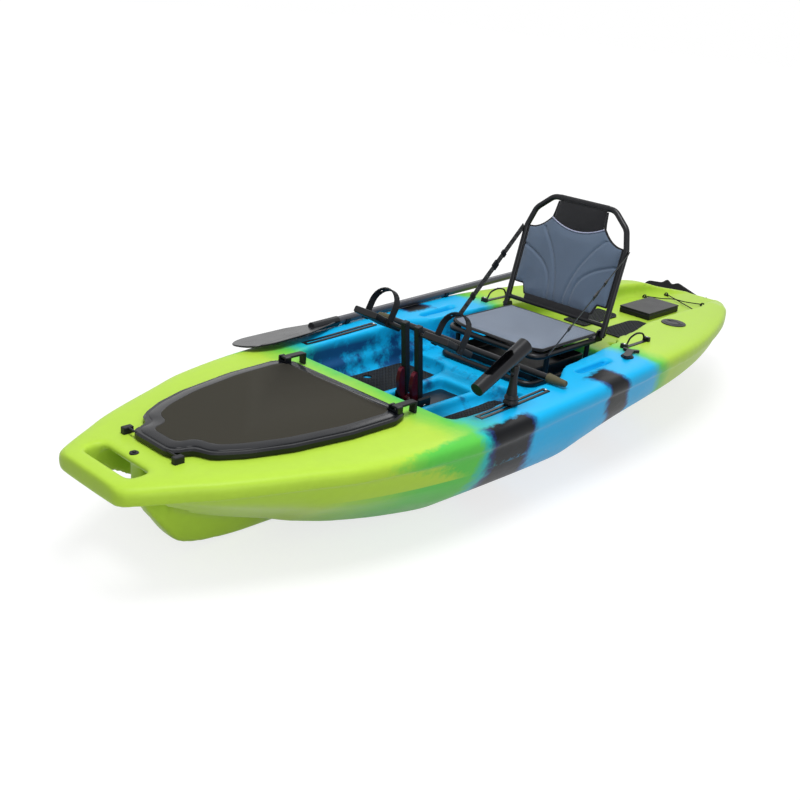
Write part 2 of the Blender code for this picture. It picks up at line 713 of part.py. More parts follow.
# Bow hatch with its pad, seal, hinges and latches
def make_hatch():
    at, turn = hatch_frame(HATCH_THICK / 2 - 0.002 + GAP)
    outline = softened(hatch_outline(), 0.03, 2)
    lid = plate("bow_hatch_lid", about_middle(outline), HATCH_THICK, BLACK, at, turn)
    rounded_edges(lid, 0.005, 1)
    bake(lid)
    recess = about_middle(softened(hatch_outline(-0.003), 0.033, 2))
    seat_at, _ = hatch_frame(0.1 - 0.002)
    bed(plate("hatch_bed", recess, 0.2, LIME, seat_at, turn))
    top, _ = hatch_frame(HATCH_THICK - 0.002 + 2 * GAP + HATCH_PAD_THICK / 2)
    pad_line = about_middle(softened(hatch_outline(HATCH_PAD_INSET), 0.03, 2))
    pad = plate("bow_hatch_pad", pad_line, HATCH_PAD_THICK, OLIVE_PAD, top, turn, edge=0.002)
    inner = about_middle(softened(hatch_outline(HATCH_OPENING_INSET - 0.006), 0.03, 2))
    outer = about_middle(softened(hatch_outline(HATCH_OPENING_INSET - 0.018), 0.03, 2))
    low, _ = hatch_frame(-0.002 + GAP + SEAL_THICK / 2)
    seal = plate("hatch_seal", outer, SEAL_THICK, RUBBER, low, turn, holes=(inner,))
    groove_out = about_middle(softened(hatch_outline(HATCH_OPENING_INSET - 0.018 - GAP), 0.03, 2))
    groove_in = about_middle(softened(hatch_outline(HATCH_OPENING_INSET - 0.006 + GAP), 0.03, 2))
    seal_groove = plate("seal_groove", groove_out, 2 * (SEAL_THICK + GAP), RUBBER, hatch_frame(-0.002 + GAP)[0], turn, holes=(groove_in,))
    bake(cut(lid, seal_groove, solver="MANIFOLD"))
    pin_z = deck_z(HATCH_PIN_X) + 0.016
    hinge_bore = rod("hinge_bore", HATCH_PIN_RADIUS + SHAFT_PLAY, 0.3, BLACK, (HATCH_PIN_X, 0, pin_z), ALONG_Y, 10)
    heel = box("lid_heel", (0.028, 0.24, 0.016), BLACK, (HATCH_PIN_X + 0.010, 0, pin_z - 0.022))
    cut(lid, hinge_bore, heel, solver="MANIFOLD")
    feet = []
    for word, side in SIDES:
        foot_at = (HATCH_PIN_X, side * (HATCH_TONGUE_HALF + 0.012), pin_z - 0.008)
        foot = box(word + "_hinge_foot", HINGE_FOOT, BLACK, foot_at, edge=0.002)
        bed_box(word + "_hinge_bed", HINGE_FOOT, foot_at, (0, 0, 0))
        feet.append(foot)
    hinge = rod("hatch_hinge", HATCH_PIN_RADIUS, 2 * HATCH_TONGUE_HALF + 0.024, STEEL, (HATCH_PIN_X, 0, pin_z), ALONG_Y, 10)
    fuse(hinge, *feet)
    lid_top = deck_z(HATCH_REAR) + HATCH_THICK - 0.002
    pin_x = HATCH_REAR + LATCH_INSET
    levers = []
    for word, side in SIDES:
        pin_at = (pin_x, side * LATCH_Y, lid_top + 0.016)
        base = box(word + "_latch_base", (0.022, 0.040, 0.022), BLACK, (pin_x, pin_at[1], lid_top + 0.0095), edge=0.002)
        cut(base, box(word + "_latch_gap", (0.03, 0.0246, 0.0225), BLACK, (pin_x, pin_at[1], lid_top + 0.0182)))
        pin = rod(word + "_latch_pin", 0.0022, 0.036, BLACK, pin_at, ALONG_Y, 8)
        boolean(lid, fuse(bake(base), pin), "UNION", "MANIFOLD")
        notch = box(word + "_pad_notch", (0.050, 0.046, 0.05), BLACK, (HATCH_REAR + 0.022, pin_at[1], lid_top))
        cut(pad, notch, solver="MANIFOLD")
        lever = box("latch_lever_" + word, (0.078, 0.024, 0.007), BLACK, (pin_x - 0.032, pin_at[1], pin_at[2]), edge=0.0015)
        nose = box(word + "_latch_nose", (0.010, 0.024, 0.036), BLACK, (pin_x - 0.074, pin_at[1], lid_top), edge=0.0015)
        fuse(lever, nose)
        cut(lever, rod(word + "_lever_bore", 0.0022 + SHAFT_PLAY, 0.05, BLACK, pin_at, ALONG_Y, 8))
        lever_axis = pivot("latch_axis_" + word, pin_at)
        hang(lever_axis, bake(lever))
        levers.append(lever_axis)
    bake(lid)
    bake(pad)
    hang(pivot("hatch_axis", (HATCH_PIN_X, 0, pin_z)), lid, pad, seal, *levers)


def bed_disc(name, radius, depth, at, turn, sides=28):
    """A round pocket square to the deck, open upwards."""
    tall = 0.03
    lift = Matrix.Rotation(turn[1], 3, "Y") @ Vector((0, 0, tall / 2 - depth - GAP))
    bed(rod(name, radius, tall, LIME, tuple(Vector(at) + lift), turn, sides))


def deck_seat(x, y, height=0.0):
    return (x, y, deck_z(x) + height), (0.0, deck_pitch(x), 0.0)


# Gear tracks, pads, handles and covers on the deck
def make_tracks():
    for word, side in SIDES:
        y = side * (rim_half(TRACK_X) - TRACK_INSET)
        at, turn = deck_seat(TRACK_X, y, TRACK_PROUD - TRACK_THICK / 2)
        size = (TRACK_LENGTH, TRACK_WIDTH, TRACK_THICK)
        track = box("gear_track_" + word, size, DARK_ALLOY, at, turn, edge=0.001)
        mouth = box(word + "_track_mouth", (TRACK_LENGTH - 0.024, 0.009, 0.02), BLACK, (at[0], at[1], at[2] + 0.009), turn)
        slot = box(word + "_track_slot", (TRACK_LENGTH - 0.020, 0.019, 0.005), BLACK, (at[0], at[1], at[2] + 0.0005), turn)
        cut(track, mouth, slot)
        bake(track)
        bed_box(word + "_track_bed", size, at, turn)


def make_pads():
    for word, side in SIDES:
        half = COCKPIT_HALF - FOOTWELL_LEDGE - 0.028
        points = [
            (0.500, FOOTWELL_INNER + 0.030), (0.500, half - 0.02), (0.400, half), (0.090, half),
            (0.090, FOOTWELL_INNER + 0.028), (0.180, FOOTWELL_INNER + 0.034),
        ]
        outline = softened(points, 0.025, 2)
        hole = circle(SCUPPER_RADIUS + 0.004, SCUPPERS[0], 12)
        if side < 0:
            outline = [(x, -y) for x, y in outline]
            hole = [(x, -y) for x, y in hole]
        lift = FOOT_FLOOR_Z + GAP + 0.0025
        plate("footwell_pad_" + word, outline, 0.005, EVA, (0, 0, lift), holes=(hole,))
        points = [(-0.640, 0.030), (-0.640, 0.132), (-0.900, 0.140), (-0.900, 0.052), (-0.870, 0.030)]
        outline = softened([(x, y * side) for x, y in points], 0.01, 2)
        plate("tank_pad_" + word, outline, 0.005, EVA, (0, 0, TANK_FLOOR_Z + GAP + 0.0025))


def make_side_handles():
    for word, side in SIDES:
        y = side * HANDLE_Y
        at, turn = deck_seat(HANDLE_X, y, 0.0)
        strip_size = (HANDLE_LENGTH, 0.014, 0.006)
        base = box("handle_base_" + word, strip_size, BLACK, at, turn)
        bed_box(word + "_strip_bed", strip_size, at, turn)
        axis_z = deck_z(HANDLE_X) + 0.010
        for end in (-1, 1):
            foot_x = HANDLE_X + end * HANDLE_LENGTH / 2
            foot_at, foot_turn = deck_seat(foot_x, y, 0.006)
            fuse(base, box(f"{word}_handle_foot_{end}", HANDLE_FOOT, BLACK, foot_at, foot_turn, edge=0.002))
            bed_box(f"{word}_handle_bed_{end}", HANDLE_FOOT, foot_at, foot_turn)
        cut(base, rod(word + "_handle_bore", HANDLE_WIRE + SHAFT_PLAY, HANDLE_LENGTH, BLACK, (HANDLE_X, y, axis_z), ALONG_X, 8))
        bake(base)
        reach = HANDLE_LENGTH / 2 - 0.003
        path = softened([
            (HANDLE_X - reach, y, axis_z), (HANDLE_X - reach + 0.014, y, axis_z), (HANDLE_X - reach + 0.026, y, axis_z + 0.022),
            (HANDLE_X, y, axis_z + 0.034), (HANDLE_X + reach - 0.026, y, axis_z + 0.022),
            (HANDLE_X + reach - 0.014, y, axis_z), (HANDLE_X + reach, y, axis_z),
        ], 0.02, 2, closed=False)
        bail = as_mesh(tube("side_handle_" + word, path, HANDLE_WIRE, BLACK, resolution=1))
        hang(pivot("side_handle_axis_" + word, (HANDLE_X, y, axis_z)), bail)


def make_discs():
    for word, side in SIDES:
        at, turn = deck_seat(DISC_X, side * DISC_Y, 0.0)
        r = DISC_RADIUS
        face = (
            (0, 0.0045), (r * 0.30, 0.0045), (r * 0.36, 0.0065), (r * 0.72, 0.0070), (r * 0.80, 0.0045),
            (r * 0.90, 0.0045), (r * 0.97, 0.0030), (r, -0.005), (0, -0.005),
        )
        cover = bake(turned("disc_cover_" + word, face, BLACK, at, turn, 20))
        notch_at = (at[0], at[1], at[2] + 0.0095)
        bake(cut(cover, box(word + "_finger_slot", (0.012, 0.052, 0.010), BLACK, notch_at, turn)))
        bed_disc(word + "_disc_bed", r + TURNING_PLAY, 0.005, at, turn)
        hang(pivot("disc_axis_" + word, at), cover)


def make_tank_box():
    length, half, wall = BOX_LENGTH, BOX_HALF, 0.003
    x = BOX_FRONT - length / 2
    base_height = 0.022
    base_at = (x, 0, TANK_FLOOR_Z + GAP + base_height / 2)
    base = box("tank_box", (length, 2 * half, base_height), BLACK, base_at, edge=0.003)
    inside = (length - 2 * wall - 0.010, 2 * (half - wall - 0.004), base_height)
    cut(base, box("tank_box_hollow", inside, BLACK, (x, 0, base_at[2] + wall)))
    bake(base)
    lid_thick = 0.007
    lid_z = TANK_FLOOR_Z + base_height + 2 * GAP + lid_thick / 2
    lid = box("tank_box_lid", (length, 2 * half, lid_thick), BLACK, (x, 0, lid_z), edge=0.002, steps=2)
    hang(pivot("tank_lid_axis", (BOX_FRONT - length, 0, lid_z - lid_thick / 2)), lid)


EYES = (
    ("port_rear", -1.362, 0.088), ("starboard_rear", -1.362, -0.088),
    ("port_front", -1.240, 0.124), ("starboard_front", -1.240, -0.124),
)


def make_eyes():
    outline = [(-0.011, 0.0), (0.011, 0.0), (0.011, 0.006)] + arc(0.009, 20, 160, 6, (0, 0.007)) + [(-0.011, 0.006)]
    hole = circle(0.0042, (0, 0.0085), 8)
    for word, x, y in EYES:
        at = (x, y, TANK_FLOOR_Z + GAP)
        plate("pad_eye_" + word, outline, 0.005, BLACK, at, (math.pi / 2, 0, math.pi / 2), holes=(hole,))


# Seat on its tube frame
def make_seat():
    low_z = SEAT_DECK_Z + GAP + SEAT_TUBE
    half = SEAT_HALF

    def hoop(name, front, rear, z):
        corners = [(front, half, z), (rear, half, z), (rear, -half, z), (front, -half, z)]
        return as_mesh(tube(name, softened(corners, 0.04, 3), SEAT_TUBE, DARK_ALLOY, cyclic=True, resolution=1))

    upper = hoop("seat_base_frame", SEAT_FRONT, SEAT_REAR, SEAT_TOP_Z)
    lower = hoop("seat_lower_hoop", SEAT_FRONT + 0.025, SEAT_REAR + 0.02, low_z)
    lower.location.z = SEAT_DECK_Z + GAP - min(vertex.co.z for vertex in lower.data.vertices)
    hoop_top = max(vertex.co.z for vertex in upper.data.vertices)
    posts = []
    for x in (SEAT_FRONT - 0.06, SEAT_REAR + 0.07):
        for word, side in SIDES:
            post_z = (SEAT_TOP_Z + low_z) / 2
            posts.append(rod(f"{word}_post_{x:.2f}", 0.009, SEAT_TOP_Z - low_z, DARK_ALLOY, (x, side * half, post_z), sides=8))
    ears = []
    ear_y = half + 0.008
    for word, side in SIDES:
        outline = softened([(0.020, -0.030), (0.016, 0.012), (-0.014, 0.012), (-0.026, -0.030)], 0.008, 2)
        ear_at = (BACK_PIVOT_X, side * ear_y, BACK_PIVOT_Z)
        ears.append(plate(word + "_ear", outline, 0.005, DARK_ALLOY, ear_at, ALONG_Y))
    leg_y = ear_y + 0.0025 + GAP + SEAT_TUBE
    pins = []
    for word, side in SIDES:
        pin_at = (BACK_PIVOT_X, side * (ear_y + 0.013), BACK_PIVOT_Z)
        pins.append(rod(word + "_seat_pin", 0.004, 0.028, STEEL, pin_at, ALONG_Y, 10))
    fuse(upper, lower, *posts, *ears, *pins)
    up = Vector((-math.sin(BACK_LEAN), 0, math.cos(BACK_LEAN)))
    foot = Vector((BACK_PIVOT_X, 0, BACK_PIVOT_Z))

    def on_back(y, s, forward=0.0):
        ahead = Vector((math.cos(BACK_LEAN), 0, math.sin(BACK_LEAN)))
        return tuple(foot + up * s + ahead * forward + Vector((0, y, 0)))

    height = BACK_HEIGHT
    path = [
        on_back(leg_y, -0.012), on_back(leg_y, height - 0.125), on_back(leg_y - 0.022, height - 0.055),
        on_back(BACK_TOP_HALF + 0.012, height), on_back(-BACK_TOP_HALF - 0.012, height),
        on_back(-leg_y + 0.022, height - 0.055), on_back(-leg_y, height - 0.125), on_back(-leg_y, -0.012),
    ]
    back = as_mesh(tube("seat_back_frame", softened(path, 0.04, 3, closed=False), SEAT_TUBE, DARK_ALLOY, resolution=1))
    bar = as_mesh(tube("back_cross_bar", [on_back(leg_y, 0.030), on_back(-leg_y, 0.030)], 0.008, DARK_ALLOY, resolution=1))
    fuse(back, bar)
    for word, side in SIDES:
        bore_at = (BACK_PIVOT_X, side * leg_y, BACK_PIVOT_Z)
        cut(back, rod(word + "_back_bore", 0.004 + SHAFT_PLAY, 0.08, DARK_ALLOY, bore_at, ALONG_Y, 10))
    bake(back)
    cushion = make_back_cushion(on_back, leg_y - SEAT_TUBE - GAP, height)
    lumbar = soft_block("lumbar_band", (0.020, 2 * (leg_y - SEAT_TUBE - 0.008), 0.085), BLACK, on_back(0, 0.125, 0.017), (0, -BACK_LEAN, 0))
    fuse(cushion, lumbar, solver="MANIFOLD")
    axis = pivot("seat_back_axis", (BACK_PIVOT_X, 0, BACK_PIVOT_Z))
    hang(axis, back, cushion)
    make_base_cushion(hoop_top)
    tray_at = ((SEAT_FRONT + SEAT_REAR) / 2, 0, SEAT_DECK_Z + GAP + 0.024)
    tray = box("seat_tray", (0.300, 0.330, 0.048), BLACK, tray_at, edge=0.006)
    cut(tray, box("tray_hollow", (0.292, 0.322, 0.048), BLACK, (tray_at[0], 0, tray_at[2] + 0.004), edge=0.004))
    bake(tray)
    make_straps(on_back, leg_y)


def soft_block(name, size, finish, at, turn):
    """A stuffed block: a coarse cage rounded by subdivision."""
    bm = bmesh.new()
    bmesh.ops.create_cube(bm, size=1.0)
    bmesh.ops.scale(bm, vec=size, verts=bm.verts)
    long_edges = [edge for edge in bm.edges if abs(edge.verts[0].co.y - edge.verts[1].co.y) > 0.9 * size[1]]
    bmesh.ops.subdivide_edges(bm, edges=long_edges, cuts=5, use_grid_fill=True)
    obj = place(name, mesh_from(bm, name), finish, at, turn)
    soft = obj.modifiers.new("soft", "SUBSURF")
    soft.levels = 1
    soft.render_levels = 1
    return obj


def quilt(name, across, along, thickness, half_at, channels, finish):
    """A padded panel on a grid: crowned faces, drawn-in edges and sewn channels.

    half_at gives the half width at each share of the length, and channels says
    how far each point is pressed in, from 0 to 1.
    """
    bm = bmesh.new()
    rows = 12
    columns = 12
    faces_by_side = {}
    for side in (1, -1):
        grid = []
        for j in range(rows + 1):
            v = j / rows
            line = []
            for i in range(columns + 1):
                u = 2 * i / columns - 1
                crown = (1 - abs(u) ** 6) * (1 - abs(2 * v - 1) ** 8)
                press = channels(u, v)
                rise = 0.5 * thickness * (0.25 + 0.75 * crown) * (1 - 0.55 * press) if side > 0 else 0.5 * thickness
                line.append(bm.verts.new((u * half_at(v) * across, v * along, side * rise)))
            grid.append(line)
        faces_by_side[side] = grid
        for j in range(rows):
            for i in range(columns):
                bm.faces.new((grid[j][i], grid[j][i + 1], grid[j + 1][i + 1], grid[j + 1][i]))
    top, under = faces_by_side[1], faces_by_side[-1]
    for j in range(rows):
        bm.faces.new((top[j][0], top[j + 1][0], under[j + 1][0], under[j][0]))
        bm.faces.new((top[j][-1], top[j + 1][-1], under[j + 1][-1], under[j][-1]))
    for i in range(columns):
        bm.faces.new((top[0][i], top[0][i + 1], under[0][i + 1], under[0][i]))
        bm.faces.new((top[-1][i], top[-1][i + 1], under[-1][i + 1], under[-1][i]))
    bmesh.ops.recalc_face_normals(bm, faces=bm.faces)
    return place(name, mesh_from(bm, name), finish)


def groove(distance, width=0.05):
    return math.exp(-((distance / width) ** 2))


def make_back_cushion(on_back, half, height):
    start = 0.042
    length = height - SEAT_TUBE - 0.008 - start

    def half_at(v):
        shoulder = 1 / (1 + math.exp(-(v - 0.67) / 0.022))
        return 1.0 - (1.0 - BACK_TOP_HALF / half) * shoulder

    def channels(u, v):
        a = abs(u)
        inner = 0.30 + 0.55 * v**2
        outer = 0.62 + 0.9 * max(0.0, v - 0.15) ** 1.5
        return min(1.0, groove(a - inner) * (v < 0.93) + groove(a - outer) * (v < 0.62))

    panel = quilt("seat_back_cushion", half, length, CUSHION_THICK, half_at, channels, SLATE)
    panel.location = on_back(0, start)
    # The panel's length runs up the back and its face looks forward.
    turn = Matrix(((0, -math.sin(BACK_LEAN), math.cos(BACK_LEAN)), (1, 0, 0), (0, math.cos(BACK_LEAN), math.sin(BACK_LEAN))))
    panel.rotation_euler = turn.to_euler()
    return panel


def make_base_cushion(hoop_top):
    length = SEAT_FRONT - SEAT_REAR - 0.012

    def half_at(v):
        return 1.0 - 0.05 * v

    def channels(u, v):
        return 0.0 * u * v

    panel = quilt("seat_base_cushion", SEAT_HALF + 0.003, length, CUSHION_THICK, half_at, channels, PALE_SLATE)
    panel.rotation_euler = (0, 0, math.pi / 2)
    panel.location = (SEAT_FRONT + 0.004, 0, hoop_top + GAP + CUSHION_THICK / 2)
    return panel


def make_straps(on_back, leg_y):
    for word, side in SIDES:
        top = Vector(on_back(side * (leg_y + SEAT_TUBE + 0.003), 0.295))
        low = Vector((-0.060, side * (SEAT_HALF + SEAT_TUBE + 0.0015), SEAT_TOP_Z + 0.004))
        run = top - low
        lean = math.atan2(run.x, run.z)
        strap = box(
            "seat_strap_" + word, (0.024, 0.002, run.length), BLACK, tuple((top + low) / 2),
            (0, lean, 0),
        )
        roll = math.asin((top.y - low.y) / run.length)
        strap.rotation_euler = (-roll, lean, 0)


# Pedal drive with its cranks, pedals and fins
def make_drive():
    slot_x = (DRIVE_SLOT_FRONT + DRIVE_SLOT_REAR) / 2
    slot_length = DRIVE_SLOT_FRONT - DRIVE_SLOT_REAR
    side_play = 0.003
    trunk_low = FIN_AXIS_Z + 0.030
    trunk_z = (trunk_low + DRIVE_LEDGE_Z) / 2
    trunk = box("drive_base", (slot_length - 2 * side_play, 2 * (DRIVE_SLOT_HALF - side_play), DRIVE_LEDGE_Z - trunk_low + 0.004), DARK_ALLOY, (slot_x, 0, trunk_z))
    flange_size = (slot_length + 2 * DRIVE_FLANGE - 0.003, 2 * (DRIVE_SLOT_HALF + DRIVE_FLANGE) - 0.003, 0.010)
    flange = box("drive_flange", flange_size, DARK_ALLOY, (slot_x, 0, DRIVE_LEDGE_Z + GAP + 0.005), edge=0.002)
    cheeks = []
    for side in (-1, 1):
        cheek_at = (PIVOT_X, side * 0.049, DRIVE_LEDGE_Z + 0.035)
        cheeks.append(box(f"cheek_{side}", (0.062, 0.010, 0.062), DARK_ALLOY, cheek_at, edge=0.006))
    lugs = []
    first = slot_x - FIN_DRUM_LENGTH - 0.0145
    for number in range(3):
        lug_at = (first + number * (FIN_DRUM_LENGTH + 0.0145), 0, FIN_AXIS_Z + 0.010)
        lugs.append(box(f"lug_{number}", (0.012, 0.026, 0.048), DARK_ALLOY, lug_at))
    base = fuse(trunk, flange, *cheeks, *lugs)
    cavity = box("drive_cavity", (0.120, 0.076, 0.110), DARK_ALLOY, (PIVOT_X + 0.010, 0, 0.165))
    shaft_bore = rod("shaft_bore", SHAFT_RADIUS + SHAFT_PLAY, 0.2, DARK_ALLOY, (PIVOT_X, 0, PIVOT_Z), ALONG_Y, 16)
    bake(cut(base, cavity, shaft_bore))
    fin_axle = rod("fin_axle", 0.005, 2 * FIN_DRUM_LENGTH + 0.040, STEEL, (slot_x, 0, FIN_AXIS_Z), ALONG_X, 12)
    idler_axle = rod("idler_axle", 0.004, 0.160, STEEL, (PIVOT_X + 0.010, 0, 0.152), ALONG_X, 12)
    fuse(base, fin_axle, idler_axle)
    rod("crank_shaft", SHAFT_RADIUS, 0.112, STEEL, (PIVOT_X, 0, PIVOT_Z), ALONG_Y, 12)
    groove_profile = ((0.0043, 0.007), (0.028, 0.007), (0.0245, 0.002), (0.0245, -0.002), (0.028, -0.007), (0.0043, -0.007), (0.0043, 0.007))
    idler = turned("idler_pulley", groove_profile, DARK_ALLOY, (PIVOT_X + CRANK_HUB_RADIUS, 0, 0.152), ALONG_X, 16)
    hang(pivot("idler_axis", (PIVOT_X + CRANK_HUB_RADIUS, 0, 0.152)), idler)
    make_cranks()
    make_fins(slot_x)


def make_cranks():
    up = Vector((math.sin(CRANK_LEAN), 0, math.cos(CRANK_LEAN)))
    turn = (0, CRANK_LEAN, 0)
    hub_top = CRANK_HUB_RADIUS + GAP
    tube_half = 0.011
    for word, side in SIDES:
        foot = Vector((PIVOT_X, side * CRANK_Y, PIVOT_Z))
        front = tube_half + GAP
        horn = softened([(CRANK_HUB_RADIUS * 0.7, -CRANK_HUB_RADIUS * 0.7), (0.034, 0.030), (0.040, 0.072), (0.028, 0.112), (front, 0.120),
                         (front, 0.012), (-0.006, 0.010)], 0.012, 3)
        root = plate("crank_root_" + word, horn, 0.014, RED, foot)
        root.rotation_euler = (Matrix.Rotation(CRANK_LEAN, 3, "Y") @ Matrix.Rotation(math.pi / 2, 3, "X")).to_euler()
        hub = rod(word + "_crank_hub", CRANK_HUB_RADIUS, CRANK_HUB_WIDTH, RED, foot, ALONG_Y, 16)
        fuse(root, hub)
        cut(root, rod(word + "_hub_bore", SHAFT_RADIUS + SHAFT_PLAY, 0.05, RED, foot, ALONG_Y, 16))
        bake(root)
        length = CRANK_LENGTH - hub_top - 0.002
        middle = foot + up * (hub_top + 0.002 + length / 2)
        upright = box("crank_arm_" + word, (2 * tube_half, 0.020, length), BLACK, middle, turn, edge=0.002)
        reach = PEDAL_Y + PEDAL_WIDTH / 2 + 0.004 - CRANK_Y
        arm_at = foot + up * (CRANK_LENGTH - 0.020) + Vector((0, side * reach / 2, 0))
        arm = rod(word + "_pedal_pin", PEDAL_PIN_RADIUS, reach, BLACK, arm_at, ALONG_Y, 14)
        cap = box(word + "_crank_cap", (0.024, 0.022, 0.008), RED, foot + up * (CRANK_LENGTH + 0.002), turn, edge=0.002)
        fuse(upright, arm, cap)
        pedal_at = foot + up * (CRANK_LENGTH - 0.020)
        pedal_at.y = side * PEDAL_Y
        pedal_turn = (0, PEDAL_TILT, 0)
        pedal = box("pedal_" + word, (PEDAL_LENGTH, PEDAL_WIDTH, PEDAL_THICK), BLACK, pedal_at, pedal_turn, edge=0.005, steps=2)
        cut(pedal, rod(word + "_pedal_bore", PEDAL_PIN_RADIUS + 0.0005, 0.14, BLACK, pedal_at, ALONG_Y, 14))
        bake(pedal)
        strap = make_pedal_strap("pedal_strap_" + word, pedal_at, PEDAL_TILT)
        crank_axis = pivot("crank_axis_" + word, foot)
        hang(crank_axis, root, upright)
        pedal_axis = pivot("pedal_axis_" + word, pedal_at)
        hang(pedal_axis, pedal, strap)
        hang(crank_axis, pedal_axis)


def make_pedal_strap(name, at, tilt):
    """A band that arches over the foot and drops down both sides of the pedal."""
    inner = PEDAL_WIDTH / 2 + GAP
    thick = 0.003
    waist = PEDAL_THICK / 2 + STRAP_HEIGHT - inner

    def line(half):
        bow = [(half * math.cos(math.radians(a)), waist + half * math.sin(math.radians(a))) for a in range(0, 181, 15)]
        return [(half, -0.014)] + bow + [(-half, -0.014)]

    outline = line(inner + thick) + line(inner)[::-1]
    strap = plate(name, outline, 0.028, RUBBER, at)
    strap.rotation_euler = (Matrix.Rotation(tilt, 3, "Y") @ Matrix(((0, 0, 1), (1, 0, 0), (0, 1, 0)))).to_euler()
    return bake(cut(strap, rod(name + "_bore", PEDAL_PIN_RADIUS + 0.0005, 0.14, BLACK, at, ALONG_Y, 14)))


def make_fins(slot_x):
    step = FIN_DRUM_LENGTH + 0.0145
    for word, side, centre in (("front", -1, slot_x + step / 2), ("rear", 1, slot_x - step / 2)):
        lead = centre + FIN_DRUM_LENGTH / 2 - 0.010
        root = FIN_DRUM_RADIUS + 0.004
        outline = softened([
            (lead, root), (lead, FIN_SPAN - 0.016), (lead - 0.030, FIN_SPAN), (lead - 0.075, FIN_SPAN - 0.030),
            (lead - FIN_CHORD, FIN_SPAN * 0.55), (lead - FIN_CHORD + 0.012, root + 0.03), (lead - 0.070, root),
        ], 0.02, 3)
        outline = [(x, y * side) for x, y in outline]
        fin = bake(plate("fin_" + word, outline, FIN_THICK, RUBBER, (0, 0, FIN_AXIS_Z), edge=0.003))
        drum = rod(word + "_drum", FIN_DRUM_RADIUS, FIN_DRUM_LENGTH, DARK_ALLOY, (centre, 0, FIN_AXIS_Z), ALONG_X, 16)
        mast_length = FIN_SPAN - 0.020
        mast_at = (lead - 0.004, side * mast_length / 2, FIN_AXIS_Z)
        mast = rod(word + "_mast", FIN_MAST_RADIUS, mast_length, STEEL, mast_at, ALONG_Y, 10)
        fuse(fin, mast, drum, solver="MANIFOLD")
        bore = rod(word + "_drum_bore", 0.005 + SHAFT_PLAY, FIN_DRUM_LENGTH + 0.02, STEEL, (centre, 0, FIN_AXIS_Z), ALONG_X, 12)
        bake(cut(fin, bore, solver="MANIFOLD"))
        hang(pivot("fin_axis_" + word, (centre, 0, FIN_AXIS_Z)), fin)


# Paddle, rod holder, thwart and rudder
def paddle_z(x):
    return PADDLE_SEAT_Z - PADDLE_SLOPE * x


def make_paddle():
    slope = math.atan(PADDLE_SLOPE)
    rear_x = PADDLE_TIP_X - PADDLE_LENGTH
    front_root = PADDLE_TIP_X - BLADE_LENGTH
    rear_root = rear_x + BLADE_LENGTH
    shaft_front = front_root + SHAFT_IN_SOCKET
    shaft_rear = rear_root - SHAFT_IN_SOCKET
    middle = (shaft_front + shaft_rear) / 2
    length = (shaft_front - shaft_rear) / math.cos(slope)
    along = (0, math.pi / 2 + slope, 0)
    rod("paddle_shaft", PADDLE_RADIUS, length, PALE, (middle, PADDLE_Y, paddle_z(middle)), along, 16)
    tilt = math.radians(10.0)
    half = BLADE_WIDTH / 2
    long = BLADE_LENGTH / 2
    for word, end, root in (("front", 1, front_root), ("rear", -1, rear_root)):
        centre = root + end * long
        outline = softened([
            (end * long, -half * 0.55), (end * long * 0.97, half * 0.6), (end * long * 0.6, half), (-end * long * 0.2, half * 0.86),
            (-end * long, PADDLE_RADIUS), (-end * long, -PADDLE_RADIUS), (-end * long * 0.2, -half * 0.86), (end * long * 0.7, -half),
        ], 0.05, 3)
        blade = plate("paddle_blade_" + word, outline, 0.006, BLACK, (centre, PADDLE_Y, paddle_z(centre)), (tilt, slope, 0), edge=0.002)
        socket_x = root + end * (SHAFT_IN_SOCKET - 0.015)
        socket_at = (socket_x, PADDLE_Y, paddle_z(socket_x))
        socket = rod(word + "_blade_socket", PADDLE_RADIUS + 0.003, PADDLE_SOCKET, BLACK, socket_at, along, 16)
        fuse(blade, socket, solver="MANIFOLD")
        bore = rod(word + "_socket_bore", PADDLE_RADIUS + GAP, length + 2 * GAP, BLACK, (middle, PADDLE_Y, paddle_z(middle)), along, 16)
        bake(cut(blade, bore, solver="MANIFOLD"))
    for word, x in (("front", front_root - CLIP_SETBACK), ("rear", REAR_CLIP_X)):
        inner = PADDLE_RADIUS + 2 * GAP
        outer = inner + CLIP_WALL
        lip = 0.006
        profile = arc(outer, 180, 360, 10) + [(outer, lip), (inner, lip)] + arc(inner, 360, 180, 10) + [(-inner, lip), (-outer, lip)]
        clip = plate("paddle_clip_" + word, profile, CLIP_WIDTH, BLACK, (x, PADDLE_Y, paddle_z(x)))
        clip.rotation_euler = (math.pi / 2, 0, math.pi / 2)
        bed(rod(word + "_clip_bed", outer + 2 * GAP, CLIP_WIDTH + 2 * GAP, LIME, (x, PADDLE_Y, paddle_z(x)), ALONG_X, 24))


def make_deck_recesses():
    """A slim pocket for small gear in the gunwale, beside the seat."""
    for word, side in SIDES:
        y = side * (COCKPIT_HALF - DECK_POCKET_INSET)
        at, turn = deck_seat(DECK_POCKET_X, y, CUT_REACH / 2 - DECK_POCKET[2])
        half_long, half_wide = DECK_POCKET[0] / 2, DECK_POCKET[1] / 2
        outline = softened([(half_long, -half_wide), (half_long, half_wide), (-half_long, half_wide), (-half_long, -half_wide)], half_wide, 3)
        bed(plate(word + "_pocket_cutter", outline, CUT_REACH, LIME, at, turn))


